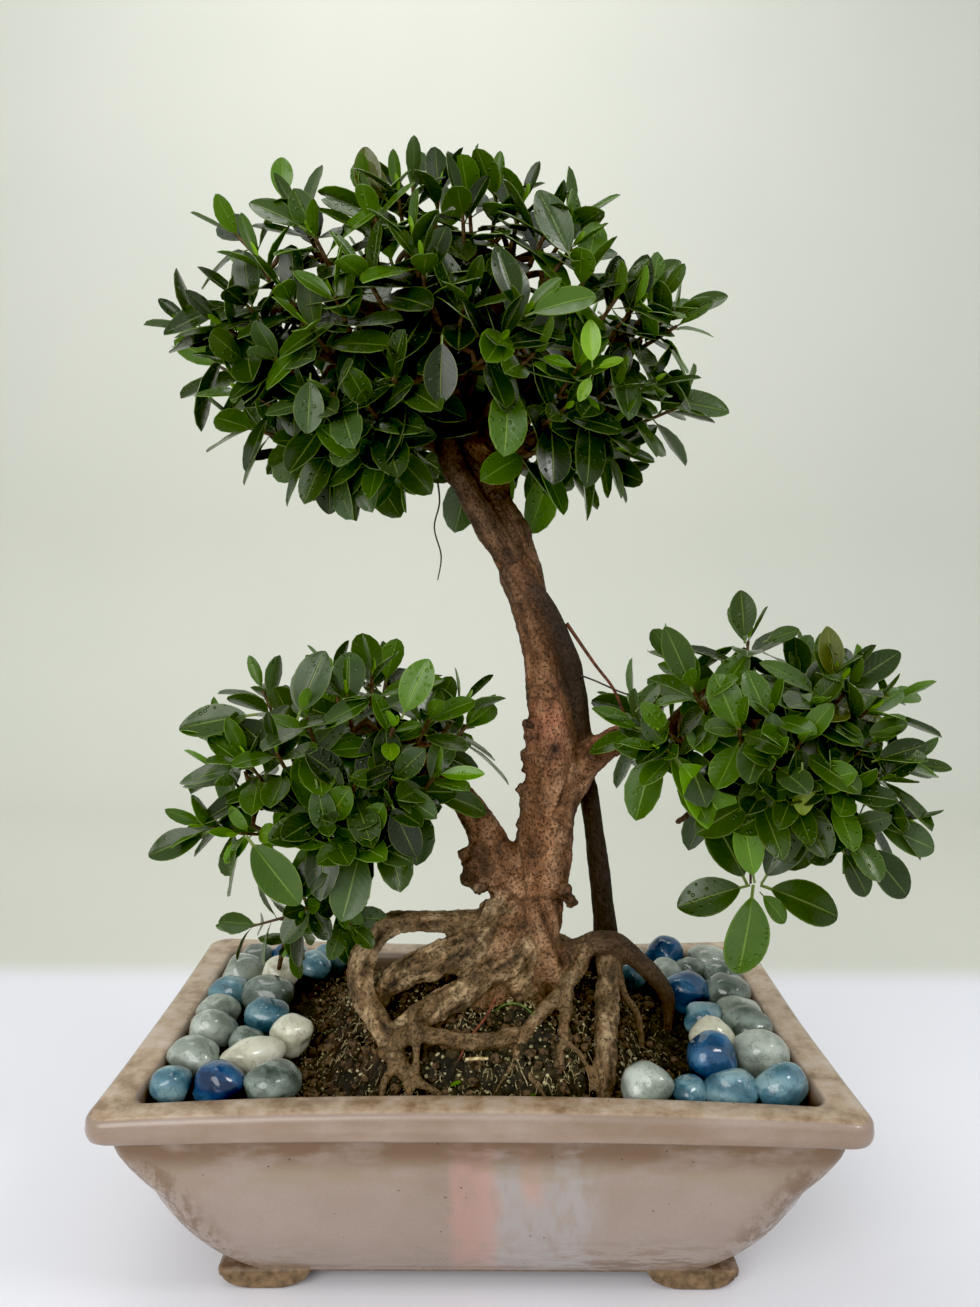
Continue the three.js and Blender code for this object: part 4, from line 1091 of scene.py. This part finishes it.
leafShape = {"rows": [0, 0.13, 0.26, 0.45, 0.65, 0.82, 0.94, 1], "columns": 4, "thickness": 0.012,
             "fold": 0.2, "arch": 0.16, "petiole": 0.016}
leafKinds = {  # half width over length, where it is widest, fold and arch, relative to leafShape
    "broad": (0.258, 0.82, 0.66, 1.0, 1.0), "oval": (0.222, 0.75, 0.7, 1.2, 0.7),
    "cupped": (0.24, 0.82, 0.66, 1.7, -0.5), "bent": (0.25, 0.82, 0.64, 0.8, 2.3),
    "young": (0.16, 0.8, 0.75, 2.4, -0.6),
}
leafTones = {
    "deep": (32, 48, 14), "dark": (20, 32, 9), "mid": (48, 68, 21), "fresh": (64, 92, 26),
    "bright": (84, 122, 28), "young": (100, 136, 30), "olive": (80, 86, 36), "yellow": (120, 138, 36),
    "grey": (58, 76, 42),
}


def leafTemplate(kind, fine=False):
    width, rise, fall, fold, arch = leafKinds[kind]
    peak = (rise / (rise + fall)) ** rise * (fall / (rise + fall)) ** fall
    rows, columns = leafShape["rows"], leafShape["columns"]
    if fine:
        rows = [0, 0.13] + [1 - 0.87 * (1 + math.cos(math.pi * i / 13)) / 2 for i in range(1, 14)]
        columns = 6
    bm = bmesh.new()
    bmesh.ops.create_grid(bm, x_segments=columns, y_segments=len(rows) - 1, size=1)
    uvLayer = bm.loops.layers.uv.new("leafMap")
    across = {}
    for vert in bm.verts:
        u, row = vert.co.x, round((vert.co.y + 1) / 2 * (len(rows) - 1))
        v = rows[row]
        blade = max(0.0, (v - rows[1]) / (1 - rows[1]))
        half = max(leafShape["petiole"] * (1 - blade), width * blade ** rise * (1 - blade) ** fall / peak)
        x = u * half
        lift = fold * leafShape["fold"] * abs(x) - arch * leafShape["arch"] * max(0, v - 0.15) ** 1.6
        lift += 0.012 * math.sin(v * 11 + u * 2) * abs(u) * blade
        across[vert.index] = (0.5 + 0.5 * u, v)
        vert.co = Vector((x, v, lift))
    for face in bm.faces:
        for loop in face.loops:
            loop[uvLayer].uv = across[loop.vert.index]
    bmesh.ops.remove_doubles(bm, verts=[v for v in bm.verts if v.co.y > 0.999], dist=0.01)
    bmesh.ops.recalc_face_normals(bm, faces=bm.faces)
    if sum(face.normal.z for face in bm.faces) < 0:
        bmesh.ops.reverse_faces(bm, faces=bm.faces)
    bmesh.ops.solidify(bm, geom=bm.faces[:], thickness=leafShape["thickness"])
    bmesh.ops.recalc_face_normals(bm, faces=bm.faces)
    toneLayer = bm.verts.layers.float_color.new("leafTone")
    for vert in bm.verts:
        top = sum(face.normal.z for face in vert.link_faces)
        vert[toneLayer] = (0, 0, 0, 1 if top > 0 else 0)
    for face in bm.faces:
        face.smooth = True
    for edge in bm.edges:
        edge.smooth = edge.calc_face_angle(0) < 1.0
    return written(f"leaf_{kind}", bm)


def emptyLeafMesh():  # with the layers of the leaves that will be added to it
    bm = bmesh.new()
    bm.from_mesh(leafTemplates["young"])
    bmesh.ops.delete(bm, geom=bm.verts[:], context="VERTS")
    return bm


def addLeaf(bm, kind, base, along, facing, length, tone, fine=False):
    along = along.normalized()
    normal = (facing - along * facing.dot(along)).normalized()
    side = along.cross(normal)
    spin = Matrix((side, along, normal)).transposed().to_4x4()
    matrix = Matrix.Translation(place(*base)) @ spin @ Matrix.Scale(length * mm, 4)
    mesh = (fineTemplates if fine else leafTemplates)[kind].copy()
    mesh.transform(matrix)
    data = mesh.attributes["leafTone"].data
    values = [0.0] * (len(data) * 4)
    data.foreach_get("color", values)
    light = 0.75 + 0.5 * dice.random()
    red, green, blue = (c * light for c in srgb(*leafTones[tone])[:3])
    for i in range(0, len(values), 4):
        onTop = values[i + 3] > 0.5
        pale = 1.0 if onTop else 1.5
        values[i] = red * pale + (0 if onTop else 0.012)
        values[i + 1] = green * pale + (0 if onTop else 0.015)
        values[i + 2] = blue * pale + (0 if onTop else 0.006)
        values[i + 3] = 1.0
    data.foreach_set("color", values)
    bm.from_mesh(mesh)
    bpy.data.meshes.remove(mesh)


def leafMaterial():
    material, shader = newMaterial("figLeaf", Roughness=0.28, Specular_IOR_Level=0.36)
    tone = attribute("leafTone", "Color")
    uv = addNode("UVMap", uv_map="leafMap").outputs[0]
    u, v = axesOf(uv)[:2]
    vector = potVector()
    side = maths("ABSOLUTE", less(times(u, 2.0), 1.0))
    colour = mixColour(between(grain(vector, 0.05, 2.0), 0.35, 0.65, 0.0, 0.4), tone,
                       tinted(tone, 0.62, 0.7, 0.6))
    veinPhase = less(times(v, 62.0), times(side, 13.0))
    vein = between(maths("SINE", veinPhase), 0.82, 1.0, 0.0, 0.07)
    rib = between(side, 0.075, 0.02, 0.0, 0.8)
    # A pale band along the leaf's margin: painted highlight of the lit edge; the midrib and veins are the
    # leaf's own paler lines.
    edge = between(side, 0.9, 0.99, 0.0, 0.5)
    pale = tinted(tone, 2.1, 1.9, 1.9)
    veinsAndLitMargin = largest(vein, edge, rib)
    colour = mixColour(veinsAndLitMargin, colour, mixColour(0.3, pale, srgb(140, 156, 76)))
    stalk = between(v, 0.17, 0.12)
    colour = mixColour(stalk, colour, srgb(104, 122, 58))
    dry = between(grain(vector, 0.22, 3.0), 0.7, 0.76, 0.0, 0.5)
    colour = mixColour(dry, colour, srgb(110, 92, 52))
    wetness = between(grain(vector, 0.02, 2.0), 0.44, 0.56)
    chosen = between(cells(vector, 0.3, output="Color"), 0.42, 0.46)
    drop = between(cells(vector, 0.3), 0.36, 0.16)
    drop = times(drop, chosen, wetness)
    height = less(times(rib, -0.9), times(vein, 0.9))
    height = plus(height, times(drop, 1.6))
    gloss = between(grain(vector, 0.09, 2.0), 0.3, 0.7, 0.18, 0.32)
    gloss = less(gloss, times(drop, 0.14))
    wear(shader, colour, gloss, raised(height, 0.35))
    return material


leafTemplates = {kind: leafTemplate(kind) for kind in leafKinds}
fineTemplates = {kind: leafTemplate(kind, True) for kind in leafKinds}  # for the leaves that stand out

# Leaf clusters of each pad as (x, y, z, tones); each grows on the spray whose hub, below, is nearest.
crownClusters = [
    (-140, -27, 593, "m"), (-101, -44, 598, "d"), (-89, -63, 574, "m"), (-128, -57, 543, "d"),
    (-120, -55, 564, "m"), (-164, -31, 537, "d"), (-140, -50, 532, "d"), (-91, -74, 527, "m"),
    (-77, -77, 541, "m"), (-65, -38, 616, "l"), (-48, -42, 615, "l"), (-42, -17, 634, "m"),
    (-26, -40, 618, "d"), (-13, -57, 597, "d"), (5, -35, 620, "l"), (19, -43, 609, "m"),
    (46, -47, 594, "m"), (33, -57, 587, "d"), (44, -62, 571, "l"), (-38, -74, 571, "m"),
    (-33, -79, 558, "d"), (18, -80, 532, "l"), (52, -65, 557, "m"), (69, -59, 547, "d"),
    (79, -53, 543, "m"), (100, -37, 542, "m"), (106, -32, 539, "m"), (49, -67, 510, "y"),
    (7, -81, 519, "d"), (25, -77, 514, "m"), (-23, -81, 505, "d"), (-111, -63, 512, "w"),
    (-132, -52, 514, "m"), (-129, -46, 498, "m"), (-92, -62, 491, "w"), (-80, -68, 494, "m"),
    (-71, -54, 473, "w"), (-90, -45, 472, "m"), (-110, -22, 466, "m"), (-91, -2, 455, "d"),
    (-58, -43, 462, "m"), (-50, -15, 451, "m"), (-137, -24, 483, "l"), (-61, -69, 487, "d"),
    (68, -52, 502, "d"), (91, -35, 506, "m"), (117, 10, 502, "m"), (42, -58, 489, "d"), (67, -36, 483, "d"),
    (40, -31, 467, "m"), (76, -1, 474, "d"), (77, 10, 458, "d"), (27, 10, 451, "d"), (0, -66, 482, "d"),
    (19, -68, 491, "d"), (93, -43, 548, "m"), (-48, -78, 500, "d"), (-60, -60, 590, "m"),
    (-104, -62, 545, "m"), (-62, -74, 553, "m"), (-10, -76, 540, "d"), (-10, -30, 622, "m"),
]
leftClusters = [
    (-143, -52, 310, "m"), (-127, -67, 300, "m"), (-95, -66, 323, "l"), (-63, -37, 343, "m"),
    (-49, -61, 317, "y"), (-75, -56, 334, "m"), (-13, 0, 322, "m"), (-10, 0, 309, "m"),
    (-27, -58, 289, "l"), (-23, -54, 281, "d"), (-48, -72, 291, "m"), (-68, -78, 289, "d"),
    (-83, -80, 275, "w"), (-153, -53, 260, "m"), (-132, -65, 259, "y"), (-83, -79, 269, "l"),
    (-63, -75, 260, "m"), (-80, -74, 258, "d"), (-50, -71, 276, "d"), (-98, -58, 214, "m"),
    (-74, -48, 202, "l"), (-80, -50, 214, "m"), (-141, -16, 188, "m"), (-115, -11, 176, "m"),
    (-110, -72, 305, "m"), (-30, -50, 320, "m"), (-150, -30, 285, "m"),
]
rightClusters = [
    (103, -46, 313, "m"), (90, -28, 313, "l"), (118, -41, 337, "m"), (155, -17, 363, "m"),
    (156, -63, 327, "l"), (193, -45, 345, "m"), (199, -45, 342, "w"), (239, -24, 330, "m"),
    (203, -47, 338, "o"), (214, -50, 327, "m"), (171, -68, 312, "m"), (214, -56, 310, "l"),
    (220, -55, 289, "d"), (240, -40, 295, "m"), (170, -69, 289, "m"), (157, -70, 302, "m"),
    (151, -68, 284, "d"), (169, -68, 282, "d"), (200, -62, 284, "m"), (236, -39, 262, "d"),
    (207, -53, 258, "m"), (101, -47, 304, "l"), (156, -34, 223, "r"), (140, -60, 318, "m"),
    (180, -56, 330, "m"),
]
clusterTones = {
    "d": ("deep", "dark", "deep", "mid"), "m": ("mid", "deep", "mid", "fresh", "grey"),
    "l": ("fresh", "mid", "grey", "fresh"), "y": ("bright", "fresh", "young", "bright"),
    "w": ("deep", "grey", "deep"), "o": ("olive", "mid", "olive"), "r": ("fresh", "mid", "grey"),
}
# Single leaves that stand out: x, y, z of the foot, x and z of the tip, tone, kind.
loneLeaves = [
    (-120, 4, 616, -119, 640, "bright", "broad"), (-62, -40, 596, -66, 628, "olive", "oval"),
    (-52, -42, 598, -68, 622, "olive", "oval"), (-93, -66, 577, -120, 592, "mid", "broad"),
    (44, -74, 560, 27, 594, "grey", "oval"), (19, -90, 529, 52, 541, "fresh", "broad"),
    (16, -88, 531, 6, 562, "deep", "oval"), (-22, -88, 520, -23, 488, "dark", "broad"),
    (54, -82, 506, 52, 528, "young", "oval"), (46, -80, 506, 30, 511, "bright", "oval"),
    (56, -78, 506, 69, 511, "young", "oval"), (54, -78, 503, 48, 490, "young", "oval"),
    (100, 6, 506, 144, 501, "mid", "oval"), (78, -36, 552, 104, 573, "mid", "oval"),
    (106, -26, 546, 133, 558, "mid", "oval"), (-92, -66, 480, -69, 464, "fresh", "broad"),
    (-87, -24, 470, -89, 436, "deep", "broad"), (-90, -76, 503, -91, 474, "grey", "broad"),
    (-134, -44, 547, -174, 532, "deep", "oval"), (-44, -68, 323, -31, 354, "bright", "broad"),
    (-99, -72, 323, -86, 358, "grey", "broad"), (-123, -60, 324, -164, 318, "mid", "oval"),
    (-26, -62, 292, 0, 292, "bright", "young"), (-124, -84, 263, -97, 228, "fresh", "oval"),
    (-110, -82, 266, -84, 261, "fresh", "broad"), (-150, -56, 258, -184, 246, "mid", "oval"),
    (-49, -78, 281, -36, 252, "dark", "broad"), (-87, -86, 294, -81, 268, "grey", "broad"),
    (91, -36, 313, 62, 324, "fresh", "young"), (117, -46, 336, 102, 371, "mid", "oval"),
    (102, -52, 305, 122, 276, "fresh", "broad"), (105, -52, 302, 140, 262, "bright", "broad"),
    (169, -78, 303, 170, 276, "yellow", "oval"), (206, -64, 315, 228, 323, "mid", "oval"),
    (213, -60, 300, 241, 311, "deep", "oval"), (238, -44, 297, 262, 293, "mid", "young"),
    (220, -46, 262, 256, 250, "grey", "broad"), (198, -58, 252, 215, 226, "deep", "broad"),
    (213, -52, 252, 240, 224, "deep", "broad"), (151, -24, 362, 148, 391, "mid", "broad"),
    (161, -26, 363, 180, 371, "mid", "oval"), (200, -50, 339, 228, 360, "deep", "oval"),
    (195, -48, 342, 190, 372, "olive", "oval"), (156, -40, 224, 151, 172, "fresh", "broad"),
    (160, -40, 224, 205, 209, "mid", "broad"), (154, -40, 224, 114, 214, "mid", "broad"),
    (155, -46, 227, 147, 264, "bright", "oval"), (161, -38, 224, 181, 260, "grey", "broad"),
    (154, -36, 222, 133, 264, "mid", "broad"), (158, -46, 222, 173, 206, "fresh", "broad"),
    (86, -40, 324, 98, 340, "mid", "oval"), (200, -56, 286, 228, 276, "mid", "broad"),
]
padCentres = {"crown": (-28, 0, 522), "left": (-78, 0, 268), "right": (168, 0, 300)}
hubs = {
    "crown_spray_left": (-122, -20, 529), "crown_spray_upper_left": (-92, -14, 579),
    "crown_spray_lower_left": (-92, -16, 479), "crown_spray_top": (-44, -8, 593),
    "crown_spray_upper_right": (14, -8, 581), "crown_spray_front": (-24, -45, 533),
    "crown_spray_right": (72, -14, 537), "crown_spray_lower_right": (67, -6, 492),
    "crown_spray_back_left": (-69, 57, 541), "crown_spray_back_right": (28, 61, 539),
    "left_spray_top": (-61, -12, 305), "left_spray_outer": (-129, -40, 268),
    "left_spray_low": (-75, -30, 245), "left_spray_hanging": (-110, -22, 201),
    "right_spray_inner": (149, -10, 345),
    "right_spray_outer": (187, -8, 312), "right_spray_low": (207, -26, 275),
    "right_spray_hanging": (157, -20, 247),
}
foliage = {"leafLength": 41, "perCluster": (6, 8), "internode": 3.8, "budLength": 11,
           "leafTurn": 137.5, "opening": (24, 62, 9),
           "straightTwig": 26, "twiggyBelow": 7.5, "backAbove": 262, "crownSquash": 0.28, "crownLift": 0.3,
           "inner": {"crown": 20, "left": 4, "right": 4}, "trunkClear": 33,
           "backDepth": {"crown": 1.25, "left": 0.75, "right": 0.7},
           "reach": {"crown": (92, 52, 62), "left": (48, 26, 30), "right": (44, 26, 26)}}


def nearestHub(region, at):
    names = [name for name in hubs if name.startswith(region)]
    return min(names, key=lambda name: (Vector(hubs[name]) - at).length)


def backClusters(region, rows):  # the far side repeats the near side loosely
    centre = Vector(padCentres[region])
    behind = []
    for x, y, z, tones in rows:
        if y > -20 or tones == "r" or (region == "crown" and dice.random() < 0.25):
            continue
        at = Vector((centre.x * 2 - x if region == "crown" else x, -y * foliage["backDepth"][region], z))
        at += Vector((dice.gauss(0, 7), dice.gauss(0, 5), dice.gauss(0, 7)))
        if region != "crown" and at.z < foliage["backAbove"]:
            continue
        behind.append((*at, "m" if tones in "lyw" else tones))
    return behind


def shadedInnerClusters(region, count):
    centre = Vector(padCentres[region])
    reach = foliage["reach"][region]
    rows = []
    for i in range(count):
        way = Vector((dice.gauss(0, 1), dice.gauss(0, 1), dice.gauss(0, 1))).normalized()
        far = dice.uniform(0.35, 0.95)
        at = centre + Vector([way[k] * reach[k] * far for k in range(3)])
        if region == "crown" or at.z > centre.z - 8:
            # Inner clusters all take the dark tones: painted shade inside the pad.
            rows.append((*at, "d"))
    return rows


def coversWood(region, at):  # the trunk shows below the crown and a limb beside the left pad
    if region == "crown":
        middle = -16 + (503 - at.z) * 0.4
        return at.z < 509 and at.y < 25 and abs(at.x - middle) < foliage["trunkClear"]
    return region == "left" and at.x > -40 and at.z < 286


def clusterAxis(region, at, foot):
    out = (at - Vector(padCentres[region])).normalized()
    grown = (at - foot).normalized() if (at - foot).length > 1 else out
    return (out * 0.7 + grown * 0.5 + up * 0.5).normalized()


def addCluster(bm, at, axis, tones, scale=1.0):
    turned = axis.orthogonal().normalized()
    phase = dice.uniform(0, 360)
    count = dice.randint(*foliage["perCluster"])
    for i in range(count):
        age = i / (count - 1)
        spin = Matrix.Rotation(math.radians(phase + foliage["leafTurn"] * i), 3, axis)
        radial = spin @ turned
        closed, opened, varied = foliage["opening"]
        opening = math.radians(closed + opened * age + dice.uniform(-varied, varied))
        along = axis * math.cos(opening) + radial * math.sin(opening)
        along = (along + up * (-0.16 * age)).normalized()
        facing = axis * math.sin(opening) - radial * math.cos(opening) + up * 0.55
        facing += Vector((dice.uniform(-0.25, 0.25), dice.uniform(-0.3, 0.2), 0))
        length = foliage["leafLength"] * scale * (0.62 + 0.42 * age) * dice.uniform(0.88, 1.14)
        kind = "young" if i == 0 else dice.choice(("broad", "broad", "oval", "cupped", "bent"))
        tone = dice.choice(clusterTones[tones])
        if i < 2 and tones in "mly" and dice.random() < 0.5:
            tone = "fresh"
        addLeaf(bm, kind, at - axis * foliage["internode"] * i, along, facing, length, tone)
    addLeaf(bm, "young", at, axis, turned, foliage["budLength"], "young")


def addTwig(curve, foot, at, axis, thick):
    middle = foot.lerp(at, 0.5) + Vector((dice.uniform(-3, 3), dice.uniform(-3, 3), dice.uniform(-4, 1)))
    base = at - axis * foliage["straightTwig"]
    route = [(*foot, thick), (*middle.lerp(base, 0.35), thick * 0.85), (*base, thick * 0.72),
             (*at, thick * 0.5)]
    samples = smoothRoute(route, 6)
    addStrand(curve, [Vector(s[:3]) for s in samples], [s[3] for s in samples])


def limbSpots():
    spots = {"crown": [], "left": [], "right": []}
    for name, (tone, points) in woodRoutes.items():
        region = next((key for key in spots if name.startswith(key)), None)
        if region and name != "rightStub":
            start = 0 if region == "crown" else len(points) // 2 if name.endswith("Branch") else 1
            for sample in smoothRoute(points[start:], 6):
                if sample[3] < foliage["twiggyBelow"]:
                    spots[region].append(sample)
    return spots


def twigMaterial():
    material, shader = newMaterial("twigBark", Roughness=0.75)
    vector = potVector()
    speck = grain(vector, 0.35, 4.0, roughness=0.65)
    wear(shader, ramp(speck, (0.3, srgb(40, 27, 17)), (0.5, srgb(78, 56, 36)),
                            (0.7, srgb(116, 90, 62))),
         between(speck, 0.3, 0.7, 0.62, 0.85), raised(speck, 0.5))
    return material


leafy = leafMaterial()


def makeFoliage():
    leaves = {name: emptyLeafMesh() for name in hubs}
    twigs = {name: strandCurve(f"{name}_twigs", 1, 1) for name in hubs}
    spots = limbSpots()
    tables = {"crown": crownClusters, "left": leftClusters, "right": rightClusters}
    for region, rows in tables.items():
        every = rows + backClusters(region, rows) + shadedInnerClusters(region, foliage["inner"][region])
        for x, y, z, tones in every:
            lift = max(0, 480 - z) * foliage["crownLift"] if region == "crown" else 0
            at = Vector((x, y, z - max(0, z - 575) * foliage["crownSquash"] + lift))
            if coversWood(region, at):
                continue
            name = nearestHub(region, at)
            limb = min(spots[region], key=lambda s: (Vector(s[:3]) - at).length + max(0, s[2] - z) * 0.5)
            foot = Vector(limb[:3])
            axis = clusterAxis(region, at, foot)
            addTwig(twigs[name], foot, at, axis, min(2.2, limb[3] * 0.6))
            if tones != "r":
                small = tones == "y" or (region == "left" and z < 235)
                addCluster(leaves[name], at, axis, tones, 0.72 if small else 1.0)
    for x, y, z, tipX, tipZ, tone, kind in loneLeaves:
        region = "left" if x < 20 and z < 400 else "right" if z < 400 else "crown"
        at, tip = Vector((x, y, z)), Vector((tipX, y - 3, tipZ))
        facing = Vector((dice.uniform(-0.3, 0.3), -1, 0.15 if tone == "dark" else 0.75))
        length = (tip - at).length * 1.04
        addLeaf(leaves[nearestHub(region, at)], kind, at, tip - at, facing, length, tone, True)
    woody = twigMaterial()
    total = 0
    for name in hubs:
        mesh = written(f"{name}_leaves", leaves[name])
        total += len(mesh.polygons)
        ridesAs(link(f"{name}_leaves", mesh, leafy), "leaf", name)
        ridesAs(link(f"{name}_twigs", curveMesh(f"{name}_twigs", twigs[name]), woody), "bark")
    print("foliage has", total, "faces")


makeFoliage()
print("foliage ready")


# Stray rootlets, a tie wire and what lies on the soil: dark and pale tone, slot, route.
strays = {
    "reddish_rootlet": ((52, 26, 16), (104, 60, 40), "bark", [(49, -8, 372, 1.3), (66, -8, 348, 1.1),
        (77, -8, 334, 1), (84, -6, 319, 0.9), (92, -2, 299, 0.8)]),
    "hanging_rootlet": ((28, 20, 14), (58, 44, 32), "bark", [(-28, -20, 458, 0.6), (-26, -21, 442, 0.5),
        (-29, -21, 427, 0.45), (-25, -20, 411, 0.45), (-27, -20, 397, 0.3)]),
    "tie_wire": ((30, 26, 24), (74, 66, 58), "bark", [(52, -9, 343, 0.6), (66, -8, 338, 0.6),
        (82, -7, 331, 0.6), (98, -7, 326, 0.6), (108, -5, 322, 0.6)]),
    "dead_twig": ((50, 34, 22), (112, 84, 58), "bark", [(-106, -26, 226, 2.2), (-112, -8, 206, 2.1),
        (-120, 10, 182, 2), (-129, 30, 156, 1.8), (-134, 41, 139, 1.5)]),
    "red_runner": ((74, 34, 22), (130, 70, 48), "bark", [(8, -46, 158, 0.8), (2, -54, 150, 0.7),
        (-6, -62, 143, 0.7), (-12, -70, 134, 0.6)]),
    "green_runner": ((54, 74, 26), (96, 120, 48), "leaf", [(8, -44, 150, 0.6), (14, -48, 156, 0.6),
        (22, -50, 157, 0.6), (30, -52, 152, 0.6)]),
    "straw": ((150, 128, 82), (214, 196, 150), "soil", [(-8, -76, 137.5, 0.9), (-2, -77, 138.5, 1),
        (4, -76, 138, 0.8)]),
}
weeds = [
    (-17, -80, 7, 0.2, "bright"), (-12, -84, 4, 2.4, "fresh"), (27, -86, 6, 1.2, "mid"),
    (31, -88, 5, 4.1, "fresh"), (54, -84, 5, 3.3, "mid"), (50, -82, 4, 0.9, "fresh"),
    (57, -89, 4, 2.0, "yellow"),
]


def makeTrimmings():
    for name, (dark, pale, slot, points) in strays.items():
        curve = strandCurve(name, 1, 1)
        samples = smoothRoute(points, 3)
        addStrand(curve, [Vector(s[:3]) for s in samples], [s[3] for s in samples])
        ridesAs(link(name, curveMesh(name, curve), crumbMaterial(name, dark, pale)), slot)
    bm = emptyLeafMesh()
    for x, y, length, heading, tone in weeds:
        along = Vector((math.cos(heading), math.sin(heading), 0.5))
        addLeaf(bm, "broad", Vector((x, y, soilHeight(x, y) + 1.5)), along, up, length, tone)
    ridesAs(link("soil_weeds", written("soil_weeds", bm), leafy), "leaf")


makeTrimmings()
print("trimmings ready")
